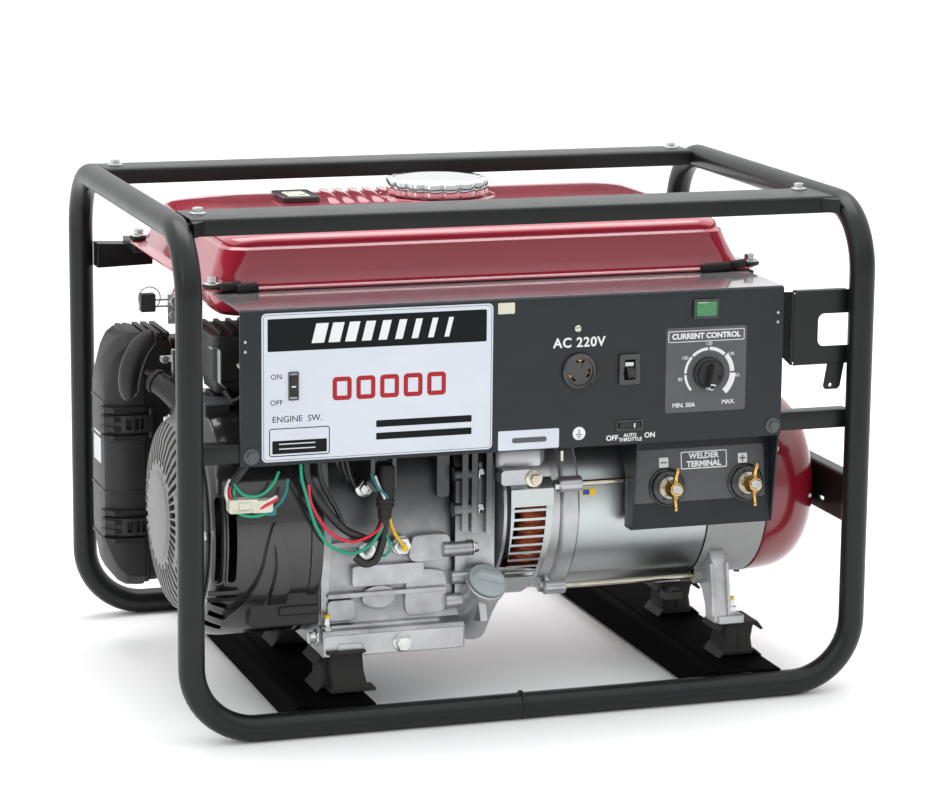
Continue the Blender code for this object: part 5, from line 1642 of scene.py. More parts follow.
def carburettor_and_muffler():
    low, high = box_of("carburetor")
    shapes = [
        prism(soft_box((low.y + 2, high.y - 2), (low.z + 8, high.z - 2), 8), "x", low.x, low.x + 8),
        prism(soft_box((low.y + 6, high.y - 6), (low.z + 10, high.z - 6), 12), "x", low.x + 7, high.x - 7),
        prism(soft_box((low.y + 1, high.y - 1), (low.z + 6, high.z - 1), 8), "x", high.x - 8, high.x),
        lathe([(-22, 0), (-22, 13), (-20, 15), (6, 15), (8, 14), (8, 0)], 40, (-226, 135, 318), ALONG_Z),
        rod(-4, 9, 6, 24, (-216, 108, 332), ALONG_Y),
    ]
    piece("carburettor_body", merged(*shapes), CAST, edge=0.8, nodes=("carburetor",))
    piece("carburettor_bolts", merged(
        hex_bolt((-226, 135, 296), (0, 0, -1), 8, 5.5, 4),
        *[hex_bolt((high.x - 8, y, z), TO_LEFT, 8, 6, 4.5) for y, z in ((120, 322), (150, 340))],
        lathe([(0, 1.2), (0, 4.2), (0.8, 4.2), (0.8, 1.2)], 12, (-232, 112, 342), ALONG_Y),
    ), ZINC, angle=25)
    low, high = box_of("muffler")
    rings = []
    for y, grow in (
            (low.y, -16), (low.y + 3, -8), (low.y + 10, -2), (low.y + 18, 0), ((low.y + high.y) / 2 - 1, 0),
            ((low.y + high.y) / 2, 2.4), ((low.y + high.y) / 2 + 2, 2.4), ((low.y + high.y) / 2 + 3, 0),
            (high.y - 18, 0), (high.y - 10, -2), (high.y - 3, -8), (high.y, -16),
    ):
        rings.append(
            [
                (u, y, v)
                for u, v in soft_box(
                    (low.x + 2.4 - grow, high.x - 2.4 + grow), (234 - grow, 390 + grow),
                    26 + min(grow, 0) * 0.3, 7,
                )
            ]
        )
    piece("muffler_body", loft(rings), HOT, angle=30, nodes=("muffler",))
    shield = prism(soft_box((low.x + 14, high.x - 14), (250, 378), 18), "y", high.y - 1.5, high.y + 3)
    holes = []
    for i in range(7):
        for j in range(5):
            holes.append(
                prism(
                    soft_box(
                        (low.x + 30 + i * 20, low.x + 42 + i * 20), (264 + j * 23, 269 + j * 23), 2.4, 3,
                    ),
                    "y", high.y - 12, high.y + 12,
                )
            )
    piece("muffler_shield", cut(shield, *holes), ZINC_SHEET, edge=0.4)
    pipe = tube(bent([(-20, 200, 252), (-20, 200, 196.5), (-20, 236, 196.5)], 18, 8), 13, 28)
    collar = lathe([(0, 12.6), (0, 15), (5, 15), (5, 12.6)], 36, (-20, 232, 196.5), ALONG_Y)
    piece("exhaust_pipe", merged(pipe, collar), HOT, angle=40)
    bolts = [
        hex_bolt((x, high.y + 3, z), ALONG_Y, 10, 8, 5)
        for x in (low.x + 24, high.x - 24)
        for z in (258, 370)
    ]
    piece("muffler_bolts", merged(*bolts), ZINC, angle=25)


def cylinder_head():
    low, high = box_of("cylinder_head")
    start = low.y
    outline = [(start, 150), (start, 276), (94, 320), (116, 320), (163, 214), (156, 203), (60, 158)]
    core = prism(
        [(y + (4 if y < 100 else -6), z + (6 if z < 210 else -6)) for y, z in outline], "x", low.x + 7,
        high.x - 7,
    )
    fins = []
    for i in range(9):
        y = 22 + i * 12.5
        lowest = 155 + max(0, y - 60) * 0.48
        highest = min(276 + (y - 2) * 0.47, 320, 320 - max(0, y - 116) * 2.25)
        if highest - lowest > 20:
            fins.append(block((low.x, high.x), (y, y + 3), (lowest, highest)))
    cover = prism([(118, 318), (161, 222), (166, 224), (124, 321)], "x", low.x + 6, high.x - 6)
    piece("head_core", merged(core, *fins, cover), CAST, edge=0.6, nodes=("cylinder_head",))
    out = Vector((0, 0.9, 0.4)).normalized()
    bolts = [
        hex_bolt(Vector((x, y, z)), out, 10, 8, 5)
        for x in (low.x + 18, high.x - 18)
        for y, z in ((158.5, 236), (131, 302))
    ]
    plug = lathe([(0, 0), (0, 8), (16, 8), (18, 11), (44, 9), (46, 0)], 32, (-118, 118, 300), (0, 0.35, 0.9))
    piece("head_bolts", merged(*bolts), ZINC, angle=25)
    lead = tube(
        flowing([(-118, 132, 338), (-140, 128, 350), (-170, 92, 352), (-205, 20, 345), (-222, -40, 330)]),
        3.5, 16,
    )
    piece("plug_cap", merged(plug, lead), RUBBER, angle=40)


# ---------------------------------------------------------------- crankcase
def crankcase():
    foot = 70.0
    back = 2.0
    main = [
        (-224, foot), (-224, foot + 24), (-221, foot + 27), (-206, foot + 30), (-201, 112), (-197, 150),
        (-192, 188), (-188, 232), (-183, 250), (-165, 291), (-148, 303), (-120, 311), (-50, 315),
        (back, 296), (back, foot + 31), (14, foot + 26), (14, foot),
    ]
    shapes = [prism(main, "x", -215, -61)]
    cover = [
        (-196, 98), (-202, 118), (-204, 132), (-204, 250), (-198, 268), (-180, 296), (-160, 309),
        (-120, 317), (-50, 319), (back, 298), (back, 110), (-20, 92), (-170, 86), (-188, 90),
    ]
    shapes.append(prism(cover, "x", -66.5, -22.2))
    rim = [(y - (2.4 if y < -150 else 0), z + (2.0 if z > 290 else -1.5)) for y, z in cover]
    shapes.append(prism(rim, "x", -66.5, -55))
    boss_list = [
        (-71, 172, 8.4, 20), (-62, 141, 8.0, 14), (-68, 116, 8.4, 16), (-60, 214, 7.6, 14),
        (-60, 252, 7.6, 14),
    ]
    for x, z, r, long in boss_list:
        shapes.append(
            lathe(
                [(-12, 0), (-12, r), (long - 1, r), (long, r - 1), (long, 0)], 36, (x + 3, -204, z),
                ALONG_X,
            )
        )
    for x, z, tall in ((-48, 218, 42), (-40, 218, 46), (-31, 216, 50)):
        shapes.append(prism(soft_box((x - 2.2, x + 2.2), (z, z + tall), 2, 3), "y", -207.2, -198))
    shapes.append(prism(soft_box((-84, -70), (226, 306), 4, 4), "y", -197, -182))
    shapes.append(
        prism(
            [
                (-205, 186), (-140, 186), (-128, 180), (-75, 180), (-75, 174), (-130, 174), (-142, 180),
                (-205, 180),
            ],
            "y", -203, -188,
        )
    )
    shapes.append(
        prism(
            smooth_outline(
                [
                    (-113.5, 162), (-113.5, 184), (-106, 188.5), (-78, 188.5), (-71.6, 182), (-71.6, 166),
                    (-78, 162),
                ]
            ),
            "y", -205.5, -190,
        )
    )
    shapes.append(
        prism(
            smooth_outline([(-166, 120), (-148, 114), (-134, 120), (-132, 132), (-146, 138), (-164, 134)]),
            "y", -206, -192,
        )
    )
    shapes.append(
        prism(
            smooth_outline(
                [(-118, 104), (-118, 146), (-108, 152), (-84, 150), (-76, 142), (-76, 112), (-86, 104)]
            ),
            "y", -205, -192,
        )
    )
    shapes.append(prism([(-212, 100), (-212, 300), (-206, 300), (-200, 176), (-206, 100)], "y", -205, -180))
    for x, z, tall in ((-57.5, 190, 92), (-47, 188, 92), (-31, 186, 94)):
        shapes.append(prism(soft_box((x - 3.4, x + 3.4), (z, z + tall), 3, 3), "y", -211.5, -198))
    shapes.append(prism(soft_box((-206, -76), (128, 133), 2, 3), "y", -209.5, -192))
    shapes.append(prism(soft_box((-204, -86), (95, 101), 2.5, 3), "y", -216, -200))
    shapes.append(prism(soft_box((-178, -100), (138, 160), 3, 3), "y", -205.2, -192))
    shapes.append(prism(soft_box((-206, -176), (104, 126), 5, 3), "y", -209, -192))
    for x, z in ((-165.6, 242.6), (-162, 176.6)):
        shapes.append(lathe([(-12, 0), (-12, 9.4), (5, 9.4), (6, 8.6), (6, 0)], 36, (x, -197, z), TO_FRONT))
    piece("crankcase_casting", merged(*shapes), CASE, edge=1.3, steps=3, angle=22, nodes=("crankcase",))
    deck = [
        prism(soft_box((-214, -62), (foot, foot + 23), 3), "y", -225.6, -200),
        prism(soft_box((-200, -172), (foot, foot + 14), 3), "y", -227.4, -210),
    ]
    piece("crankcase_foot", merged(*deck), CAST, edge=1.2, angle=22)
    axis = Vector((0.16, -0.60, 0.78)).normalized()
    at = Vector((-45, -190, 96))
    neck = lathe(
        [(-14, 0), (-14, 24), (4, 22), (20, 20.5), (44, 20), (46, 21.4), (51, 21.4), (52, 20.6), (52, 0)],
        64, at, axis,
    )
    web = prism([(-204, 92), (-238, 100), (-226, 128), (-204, 128)], "x", -48, -40)
    piece("oil_neck", merged(neck, web), CAST, edge=0.6, angle=30)
    cap = lathe(
        [(52.5, 0), (52.5, 17), (54, 20.4), (56.5, 21), (58.4, 20.2), (59.2, 18), (59.6, 0)], 64, at, axis,
    )
    grip_rings = []
    across = axis.cross(Vector((0.3, 0.2, 1))).normalized()
    other = axis.cross(across)
    for far, long, half in ((58, 17.5, 4.6), (62, 16.5, 4.0), (66, 14.5, 3.2), (68.4, 12, 2.2)):
        base = at + axis * far
        grip_rings.append(
            [
                base + across * u + other * v
                for u, v in soft_box((-long, long), (-half, half), half * 0.7, 4)
            ]
        )
    piece(
        "oil_cap", merged(cap, loft(grip_rings)), CAP, "oil_filler_cap", edge=0.5,
        nodes=("oil_filler_cap",),
    )
    bolts = [hex_bolt((x, -203, z), TO_FRONT, 10, 9, 6) for x, z in ((-165.6, 242.6), (-162, 176.6))]
    bolts += [hex_bolt((x + 3 + long, -204, z), ALONG_X, 10, 8.6, 6) for x, z, _, long in boss_list]
    bolts.append(hex_bolt((-218.8, -212, 89.2), TO_LEFT, 12, 9, 7))
    bolts.append(hex_bolt((-130, -225.6, 81), TO_FRONT, 14, 10, 7))
    bolts.append(stud((-207.6, -214, 94), ALONG_Z, 10, 3, 16, 8))
    piece("crankcase_bolts", merged(*bolts), ZINC, angle=25)
    piece("stud_tip", disc((-207.6, -214, 109), ALONG_Z, 3.2, 4), YELLOW)
    piece("drain_mark", disc((-130, -232.2, 81), TO_FRONT, 3.4, 0.6), BLUE)
    piece("bolt_mark", disc((-57, -206.8, 141), TO_FRONT, 1.8, 0.8), BLUE)
    nut = merged(
        disc((-124.3, -200, 178.7), TO_FRONT, 10.2, 2.4),
        hexagon((-124.3, -202.2, 178.7), TO_FRONT, 17, 6, 0, 15),
        lathe([(7, 0), (7, 5), (12, 4.6), (12, 0)], 24, (-124.3, -202.2, 178.7), TO_FRONT),
    )
    piece("sensor_nut", nut, ZINC, edge=0.4, angle=25)
    piece("sensor_seal", disc((-124.3, -214, 178.7), TO_FRONT, 3.6, 2.4), YELLOW)
    gasket = prism(
        [(y - 0.8, z) for y, z in cover[1:6]] + [(-190, 262), (-196, 250), (-196, 130)], "x", -67.3, -66.3,
    )
    piece("cover_gasket", gasket, INK)


fuel_tank()
fuel_cap()
recoil_cover()
recoil_grip()
fan_shroud()
ignition_and_duct()
air_cleaner()
throttle()
carburettor_and_muffler()
cylinder_head()
crankcase()


# ---------------------------------------------------------------- alternator
STATOR_R = 102.0


def alternator_bracket():
    start, end = box_of("alternator_bracket")[0].x + 3.6, 69.0
    profile = [
        (start, 30), (start, 82), (start + 2, 88), (start + 6, 94.5), (start + 12, 97), (end - 21, 101.5),
        (end - 18, 105.5), (end - 16, 106.6), (end - 3, 106.6), (end - 1, 105.6), (end, 104), (end, 97.5),
        (end - 4, 97), (start + 12, 91), (start + 7, 84), (start + 6, 78), (start + 6, 30),
    ]
    bell = lathe(profile, 128, AXIS)
    window = block((-9, 37), (-240, -172), (122, 238))
    upper = block((-6, 34), (-205, -150), (276, 330))
    bell = cut(bell, window, upper)
    shapes = [bell]
    for angle in (164, 237, 330, 60):
        c, s = math.cos(math.radians(angle)), math.sin(math.radians(angle))
        at = (0, AXIS[1] + 110 * c, AXIS[2] + 110 * s)
        shapes.append(lathe([(44, 0), (44, 6.5), (46, 8.2), (66, 8.6), (68.4, 8.2), (68.4, 0)], 36, at))
        inward = (0, AXIS[1] + 101 * c, AXIS[2] + 101 * s)
        shapes.append(rod(46, 68, 8, 24, inward))
    hump = []
    for x, size in ((-21, 0.86), (-14, 0.97), (4, 1.0), (26, 1.0), (32, 0.92)):
        hump.append(
            [
                (x, AXIS[1] - 52 + 46 * size * math.cos(t), 262 + 42 * size * math.sin(t))
                for t in [math.radians(a) for a in range(20, 200, 10)]
            ]
            + [(x, -170, 262), (x, -120, 262)]
        )
    shapes.append(loft(hump))
    shapes.append(prism(soft_box((-21.4, 12), (240, 256), 4), "y", -222, -190))
    for i in range(3):
        web = prism([(-100 - 4, 222), (-104, 262), (-100, 262), (-96, 222)], "x", -12 + i * 14, -8 + i * 14)
        shapes.append(moved(web, Matrix.Translation((0, -98, 0))))
    piece(
        "bracket_casting", merged(*shapes), CAST, edge=0.9, steps=2, angle=26,
        nodes=("alternator_bracket",),
    )
    bolts = [hex_bolt((x, y, z), TO_FRONT, 10, 9, 6) for x, y, z in ((14.2, -222.6, 246),)]
    bolts.append(rod(0, 11, 2.2, 16, (47, -217, 262), ALONG_Z))
    piece("bracket_bolts", merged(*bolts), ROD, angle=25)


def vent_cover():
    radius = 109.6
    shell_outline = [
        (-8, 262), (36, 262), (37.4, 225), (35.5, 180), (30.5, 140), (24.5, 106), (-4.5, 106), (-8, 140),
        (-9.6, 180), (-9.2, 225),
    ]
    skin = shell_patch((radius - 1.4, radius), shell_outline)
    slots = []
    for i in range(11):
        angle = 169.6 + i * 5.1
        shift = -i * 0.5
        slot = block((-5.0 + shift, 30.5 + shift), (100, 118), (-3.5, 3.5))
        slot = turned(slot, angle, "X", (0, 0, 0))
        slots.append(moved(slot, Matrix.Translation(AXIS)))
    skin = cut(skin, *slots)
    flap = prism(
        [
            (-222.6, 216), (-221.0, 216), (-221.0, 234), (-218.4, 236.8), (-205, 249.8), (-206.2, 251.0),
            (-220.0, 237.6), (-222.6, 234.6),
        ],
        "x", -10.4, 36.6,
    )
    side = prism([(-221.8, 218), (-221.8, 234), (-208, 248), (-203, 240), (-212, 222)], "x", -10.4, -8.8)
    piece("vent_sheet", merged(skin, flap, side), ZINC_SHEET, edge=0.35, nodes=("vent_cover",))
    out = Vector((0, -0.72, 0.69))
    piece("vent_screw", merged(cross_screw(Vector((14.2, -214, 243.4)), out, 4.6),
                               disc(Vector((14.2, -214, 243.4)), out, 6.4, 0.8)), ZINC, angle=25)


def winding_and_rotor():
    coils = []
    for i in range(24):
        angle = 15 * i
        path = flowing(
            [
                (82, 78, 0), (40, 82, 0), (22, 85, 0), (13.5, 81, 0), (12.5, 74, 0), (20, 69, 0),
                (50, 67.5, 0), (82, 68, 0),
            ],
            3,
        )
        for k, lean in enumerate((-4.6, 0, 4.6)):
            strand = tube([Vector((p.x, p.y, lean + 1.5 * math.sin(p.x * 0.15 + k))) for p in path], 2.5, 8)
            strand = turned(strand, angle, "X", (0, 0, 0))
            coils.append(moved(strand, Matrix.Translation(AXIS)))
    core = lathe([(14, 70), (12, 76), (14, 83), (24, 86), (85, 82.5), (85, 67), (24, 67)], 72, AXIS)
    piece("winding_coils", merged(core, *coils), COPPER, angle=60, nodes=("stator_winding",))
    ties = []
    for i in range(12):
        tie = lathe([(-1.2, 9.2), (-1.2, 10.4), (1.2, 10.4), (1.2, 9.2)], 20, (24, 77, 0), ALONG_Z)
        ties.append(moved(turned(tie, 30 * i + 7, "X", (0, 0, 0)), Matrix.Translation(AXIS)))
    piece("winding_ties", merged(*ties), NYLON, edge=0.2)
    fan = []
    for i in range(18):
        blade = block((-6, 4.5), (38, 77), (-1.3, 1.3))
        blade = turned(blade, 24, "Z", (0, 58, 0))
        fan.append(moved(turned(blade, 20 * i, "X", (0, 0, 0)), Matrix.Translation(AXIS)))
    plate = lathe([(4, 20), (4, 76), (6, 77), (7, 76), (7, 20)], 72, AXIS)
    piece("rotor_fan", merged(plate, *fan), CAST, "crank", edge=0.3)


def stator():
    start, end = 69.4, 217.0
    profile = [(start, STATOR_R - 3), (start, STATOR_R - 0.4), (start + 0.4, STATOR_R), (end - 0.4, STATOR_R),
               (end, STATOR_R - 0.4), (end, STATOR_R - 3)]
    tube_shape = lathe(profile, 160, AXIS)
    seam = shell_patch(
        (STATOR_R - 1, STATOR_R + 0.7),
        [(start + 0.5, 128.5), (end - 0.5, 128.5), (end - 0.5, 126.6), (start + 0.5, 126.6)],
    )
    piece("stator_sheet", merged(tube_shape, seam), ZINC_SHEET, edge=0.2, nodes=("stator_housing",))
    sticker = shell_patch((STATOR_R, STATOR_R + 0.35), soft_box((72.6, 88), (221, 228.5), 1, 3))
    piece("stator_sticker", sticker, YELLOW)
    mark = shell_patch((STATOR_R, STATOR_R + 0.5), soft_box((73.6, 81), (222, 227.6), 0.8, 3))
    piece("stator_sticker_mark", mark, BLUE)
    rods, ends = [], []
    for angle in (164, 237, 330, 60):
        c, s = math.cos(math.radians(angle)), math.sin(math.radians(angle))
        at = (0, AXIS[1] + 110 * c, AXIS[2] + 110 * s)
        rods.append(rod(68, 218, 3.2, 20, at))
        ends.append(hex_bolt((235.4, at[1], at[2]), ALONG_X, 10, 8.6, 6))
        ends.append(hex_bolt((44, at[1], at[2]), TO_LEFT, 10, 0, 5))
    piece("through_rods", merged(*rods), ROD, angle=40, nodes=("through_bolt_upper", "through_bolt_lower"))
    piece("rod_ends", merged(*ends), ZINC, angle=25)


def rear_bracket():
    start, end = 217.4, 286.0
    radius = STATOR_R
    profile = [
        (start, radius - 8), (start, radius + 1.0), (start + 0.6, radius + 1.5), (start + 8, radius + 1.5),
        (start + 9, radius + 0.2), (start + 10, radius - 0.2), (end - 1.5, radius - 0.2), (end, radius - 1.5),
        (end, 24), (end - 6, 24), (end - 6, radius - 8),
    ]
    shapes = [lathe(profile, 160, AXIS)]
    for angle in (164, 237, 330, 60):
        c, s = math.cos(math.radians(angle)), math.sin(math.radians(angle))
        at = (0, AXIS[1] + 110 * c, AXIS[2] + 110 * s)
        shapes.append(lathe([(218, 0), (218, 8.6), (234, 8.6), (235.4, 7.6), (235.4, 0)], 36, at))
        shapes.append(
            lathe([(218, 0), (218, 8), (233, 7), (233, 0)], 24, (0, AXIS[1] + 101 * c, AXIS[2] + 101 * s))
        )
    feet = []
    for flip in (False, True):
        leg = [
            (-214.5, 71), (-214.5, 78), (-211, 90), (-206, 116), (-203, 138), (-196, 148), (-188, 151),
            (-150, 114), (-176, 100), (-186, 86), (-190, 71),
        ]
        if flip:
            leg = [(2 * AXIS[1] - y, z) for y, z in leg]
        feet.append(prism(leg, "x", 225.5, 241.5))
        ys = (-219, -187) if not flip else (-33, -1)
        feet.append(prism(soft_box((229, 259.6), ys, 4), "z", 70, 78.5))
        outer = ys[0] if not flip else ys[1]
        way = 1 if not flip else -1
        rib = [
            (outer + way * 3, 78), (outer + way * 5, 102), (outer + way * 12, 136), (outer + way * 17, 136),
            (outer + way * 12, 100), (outer + way * 16, 78),
        ]
        feet.append(prism(rib, "x", 222, 226.5))
        feet.append(prism(rib, "x", 240.5, 244))
    piece("rear_feet", merged(*feet), FOOT, edge=1.0, steps=2, angle=24)
    piece("rear_casting", merged(*shapes), BAND, edge=1.0, steps=2, angle=24, nodes=("rear_bracket",))
    ring = lathe([(start - 0.6, radius - 2), (start - 0.6, radius + 1.2), (start + 0.4, radius + 1.2),
                  (start + 0.4, radius - 2)], 144, AXIS)
    piece("rear_seam", ring, INK)
    studs = [stud((249, y, 78.2), ALONG_Z, 12, 4, 16, 8.6) for y in (-203, -17)]
    piece("rear_studs", merged(*studs), ZINC, angle=25)
    piece("rear_stud_tips", merged(*[disc((249, y, 93.4), ALONG_Z, 3.9, 3) for y in (-203, -17)]), YELLOW)
    clamp = merged(
        block((176, 196), (-196, -178), (96, 104)),
        tube(flowing([(178, -190, 100), (186, -194, 108), (194, -190, 102)]), 3, 14),
    )
    piece("lead_clamp", clamp, RUBBER, edge=0.8)


def end_cover():
    r = STATOR_R
    start = box_of("end_cover")[0].x
    curve = [
        (0, r - 1.2), (0.8, r - 0.2), (2.2, r), (12, r), (20, r - 0.4), (28, r - 1.2), (35, r - 2.6),
        (41, r - 4.6), (47, r - 7.6), (52, r - 11.2), (57, r - 16.2), (61, r - 22), (64.6, r - 30),
        (67.2, r - 40), (69, r - 52), (70.4, r - 68), (71.0, r - 84), (71.1, 0),
    ]
    inner = [
        (69.0, 0), (69.0, r - 84), (68.4, r - 68), (67, r - 53), (65.2, r - 41), (62.7, r - 31.5),
        (59.4, r - 24), (55.6, r - 18.2), (50.8, r - 13.4), (46, r - 9.8), (40, r - 6.8), (28, r - 3.4),
        (12, r - 2.2), (0, r - 2.2),
    ]
    shell = lathe([(start + a, b) for a, b in [*curve, *inner]], 144, (0, AXIS[1], AXIS[2]))
    slots = []
    for i in range(24):
        slot = prism(soft_box((34, 76), (-2.1, 2.1), 2.0, 3), "x", start + 48, start + 90)
        slots.append(moved(turned(slot, 15 * i, "X", (0, 0, 0)), Matrix.Translation((0, AXIS[1], AXIS[2]))))
    piece("dome_shell", cut(shell, *slots), RED, edge=0.3, steps=1, angle=40, nodes=("end_cover",))
    screws = []
    for angle in (30, 150, 270):
        c, s = math.cos(math.radians(angle)), math.sin(math.radians(angle))
        out = Vector((0, c, s))
        screws.append(hex_bolt(Vector((start + 9, AXIS[1], AXIS[2])) + out * (r - 0.2), out, 8, 6.6, 4))
    piece("dome_screws", merged(*screws), ZINC, angle=25)


# ---------------------------------------------------------------- wiring
def wire(name, points, radius, paint):
    """A round wire that flows through these points."""
    piece(name, tube(flowing(points), radius, 12), paint)


def wiring():
    y = -247.5
    thick = [
        (-240, y, 330), (-240, y, 284), (-236, y, 262), (-222, -247.5, 238), (-200, -242, 212),
        (-180, -236, 200), (-166, -232, 195.5), (-156, -230, 204), (-151, -228, 216),
    ]
    loop = [
        (-181, -226, 176), (-172, -229, 169), (-161, -229, 172), (-154.5, -228.5, 185),
        (-150.5, -227.5, 203), (-149, -226.5, 216), (-148, -225, 232),
    ]
    piece("main_sleeves", merged(tube(flowing(thick), 4.3, 18), tube(flowing(loop), 4.3, 18)), SLEEVE,
          nodes=("wire_harness",))
    wire(
        "thin_sleeve",
        [(-226, -243, 290), (-222, -243, 262), (-206, -241, 232), (-196, -238, 210), (-184, -236, 196)],
        2.6, SLEEVE,
    )
    wire(
        "green_wire",
        [
            (-246, -250, 286), (-245, -251, 268), (-241, -252, 252), (-232, -252, 222), (-221, -251, 202),
            (-209, -250, 192), (-190, -247, 185.5), (-171, -243, 191), (-158, -236, 203), (-152, -230, 212),
        ],
        1.7, GREEN_WIRE,
    )
    wire(
        "red_wire",
        [
            (-238, -251, 262), (-235.5, -251.5, 243), (-225, -251, 222), (-210, -250, 206),
            (-192, -246, 197.5), (-176, -242, 199), (-160, -236, 205), (-152, -230, 213),
        ],
        1.6, RED_WIRE,
    )
    wire(
        "white_wire", [(-162, -232, 262), (-158, -234, 250), (-152, -233, 238), (-150, -229, 226)], 1.5,
        WHITE_WIRE,
    )
    wire(
        "teal_wire", [(-166, -232, 264), (-160, -235.5, 250), (-150, -234, 240), (-147, -229, 228)], 1.5,
        TEAL_WIRE,
    )
    wire(
        "small_green_loop",
        [(-150, -229, 200), (-147, -233, 192), (-146, -234, 184), (-150, -233, 178), (-153, -230, 176)],
        1.4, GREEN_WIRE,
    )
    wire(
        "yellow_wire",
        [(-144, -224, 214), (-141, -222, 205), (-136, -219, 195), (-129.5, -217, 186), (-125.5, -216, 180)],
        2.0, YELLOW_WIRE,
    )
    grommet = lathe(
        [
            (-22, 0), (-22, 6), (-20, 7), (-10, 7.6), (-8, 9.6), (-6, 9.8), (-4.6, 8.6), (-3.4, 9.8),
            (-1, 10), (0.6, 8.6), (14, 9.4), (34, 8.6), (36, 7), (36, 0),
        ],
        36, (-149, -226, 236), (0.05, 0.02, 1),
    )
    piece("wire_grommet", grommet, RUBBER, edge=0.3, angle=40)
    hood = cut(
        prism(soft_box((-166, -138), (244, 290), 5), "y", -230, -214),
        prism(soft_box((-161, -143), (248, 300), 4), "y", -240, -219),
    )
    piece("wire_hood", hood, GLOSS, edge=0.8)
    shell = prism(soft_box((-322, -292), (237, 251), 2.5), "y", -256.5, -243)
    mouth = prism(soft_box((-298, -276), (236, 249), 3), "y", -255.5, -244)
    latch = block((-312, -300), (-258.4, -255), (241, 248))
    rib = block((-318, -296), (-257.6, -256), (239, 240.4))
    piece("connector_nylon", merged(shell, mouth, latch, rib), NYLON, edge=0.9, steps=3)
    teal = prism(soft_box((-284, -272), (232, 240), 3), "y", -254, -246)
    piece("connector_teal", teal, TEAL_WIRE, edge=0.8)
    wire(
        "lead_red", [(-318, -250, 250), (-320, -251, 258), (-319, -250, 264), (-316, -248, 270)], 1.6,
        RED_WIRE,
    )
    wire(
        "lead_white", [(-322, -250, 249), (-324, -251, 257), (-323, -250, 264), (-319, -248, 271)], 1.6,
        WHITE_WIRE,
    )
    wire(
        "lead_green", [(-314, -250, 251), (-316, -252, 258), (-315, -250, 265), (-312, -248, 271)], 1.6,
        GREEN_WIRE,
    )
    wire(
        "green_hoop",
        [
            (-317, -251, 268), (-308, -254, 257), (-296, -255, 253.5), (-284, -254, 257), (-274, -251, 266),
            (-268, -247, 276),
        ],
        1.6, GREEN_WIRE,
    )
    wire(
        "lower_green", [(-318, -252, 240), (-306, -255, 234.5), (-294, -255, 233), (-282, -253, 235)], 1.6,
        GREEN_WIRE,
    )
    wire("lead_right_white", [(-290, -253, 243), (-280, -256, 249), (-272, -254, 252)], 1.5, WHITE_WIRE)
    wire("lead_right_red", [(-290, -254, 240), (-280, -257, 246), (-271, -255, 250)], 1.5, RED_WIRE)
    wire(
        "lead_right_teal", [(-276, -252, 238), (-268, -255, 246), (-262, -253, 256), (-259, -249, 268)],
        1.6, TEAL_WIRE,
    )
    sleeve = tube(
        flowing([(-319, -249, 264), (-312, -248, 272), (-304, -247, 282), (-296, -245, 292)]), 4.2, 16,
    )
    piece("lead_sleeve", sleeve, SLEEVE)
    for i, x in enumerate((-206, -200, -194)):
        wire(
            f"panel_lead_{i}",
            [(x, -242, 300), (x + 2, -236 + i * 3, 278), (x + 14, -220, 262 - i * 6), (x + 26, -210, 258)],
            2.4, SLEEVE,
        )


def kept_nodes():
    """The turning and hidden parts keep their own shapes and take these finishes."""
    for name, paint in (("flywheel", IRON), ("crankshaft", STEEL), ("rotor", IRON), ("stator_core", IRON)):
        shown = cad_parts[name]
        shown.data.materials.clear()
        shown.data.materials.append(paint)


alternator_bracket()
vent_cover()
winding_and_rotor()
stator()
rear_bracket()
end_cover()
wiring()
kept_nodes()


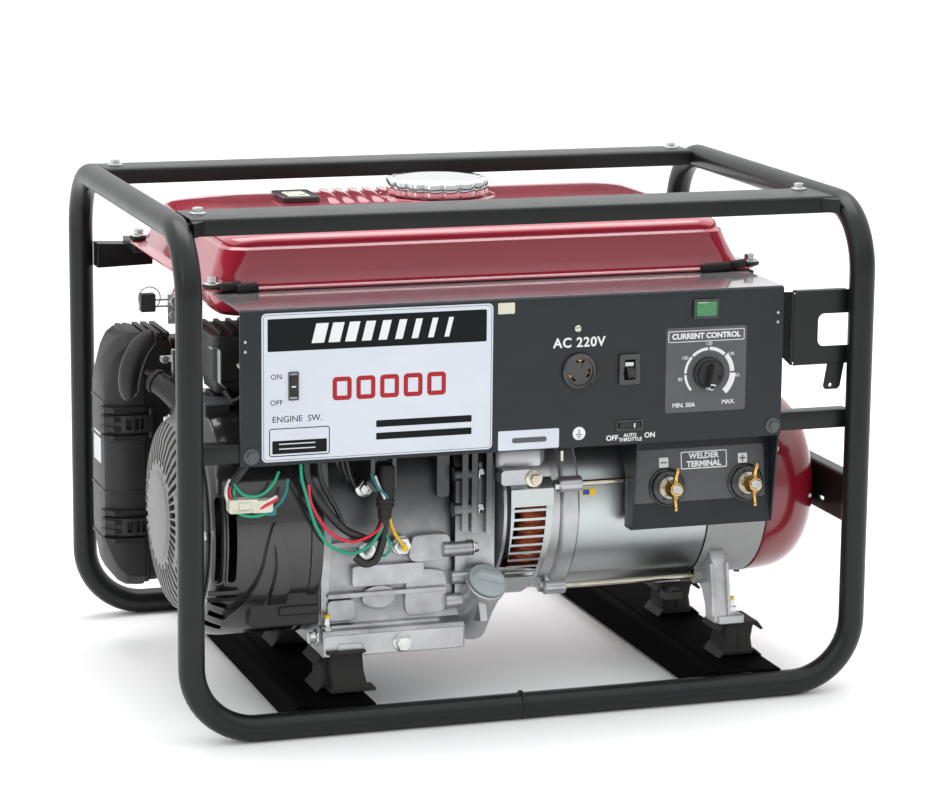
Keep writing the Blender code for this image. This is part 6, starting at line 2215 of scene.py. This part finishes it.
# ---------------------------------------------------------------- studio
def studio():
    floor_mat = shade("floor", (0.93, 0.93, 0.93), 0.7, vary=0.01, mottle=3, bump=0.0)
    shape = bmesh.new()
    corners = [
        shape.verts.new(p) for p in ((-9000, -9000, 0), (9000, -9000, 0), (9000, 9000, 0), (-9000, 9000, 0))
    ]
    shape.faces.new(corners)
    bmesh.ops.scale(shape, vec=(MM, MM, MM), verts=shape.verts[:])
    mesh = bpy.data.meshes.new("floor")
    shape.to_mesh(mesh)
    shape.free()
    floor = bpy.data.objects.new("floor", mesh)
    floor.data.materials.append(floor_mat)
    bpy.context.scene.collection.objects.link(floor)
    world = bpy.data.worlds.new("studio")
    world.use_nodes = True
    nodes, links = world.node_tree.nodes, world.node_tree.links
    place = nodes.new("ShaderNodeTexCoord")
    split = nodes.new("ShaderNodeSeparateXYZ")
    links.new(place.outputs["Generated"], split.inputs["Vector"])

    def ramp(socket, low, high, first, last):
        made = nodes.new("ShaderNodeMapRange")
        made.interpolation_type = "SMOOTHSTEP"
        for name, value in (("From Min", low), ("From Max", high), ("To Min", first), ("To Max", last)):
            made.inputs[name].default_value = value
        links.new(socket, made.inputs["Value"])
        return made.outputs["Result"]

    back = ramp(split.outputs["Y"], -0.35, 0.15, 0.62, 1.05)
    top = ramp(split.outputs["Z"], 0.15, 0.75, 0.0, 1.0)
    mix = nodes.new("ShaderNodeMix")
    links.new(top, mix.inputs["Factor"])
    links.new(back, mix.inputs["A"])
    mix.inputs["B"].default_value = 1.5
    links.new(mix.outputs["Result"], nodes["Background"].inputs["Strength"])
    nodes["Background"].inputs["Color"].default_value = (0.985, 0.995, 1.0, 1)
    bpy.context.scene.world = world
    for name, at, aim, size, power in (
        ("top_softbox", (0.1, 0.5, 2.4), (0, 0, 0.3), (2.2, 1.4), 34),
        ("front_left_softbox", (-2.6, -1.6, 1.7), (0, 0, 0.25), (0.8, 1.4), 6),
    ):
        lamp = bpy.data.lights.new(name, "AREA")
        lamp.shape = "RECTANGLE"
        lamp.size, lamp.size_y = size
        lamp.energy = power
        holder = bpy.data.objects.new(name, lamp)
        holder.location = at
        holder.rotation_euler = (Vector(aim) - Vector(at)).to_track_quat("-Z", "Y").to_euler()
        bpy.context.scene.collection.objects.link(holder)
    scene = bpy.context.scene
    scene.view_settings.view_transform = "Standard"
    scene.view_settings.look = "None"
    lens = bpy.data.cameras.new("photo_camera")
    lens.lens = 124.93
    lens.sensor_width = 36
    camera = bpy.data.objects.new("photo_camera", lens)
    right = Vector((0.94952897, -0.3135316, 0.009627))
    up = Vector((0.05298149, 0.1905527, 0.98024621))
    ahead = Vector((0.30917261, 0.93026212, -0.19754668))
    at = Vector((-1.10711, -3.4002, 1.00817))
    turn = Matrix((right, up, -ahead)).transposed().to_4x4()
    camera.matrix_world = Matrix.Translation(at) @ turn
    scene.collection.objects.link(camera)
    scene.camera = camera


studio()
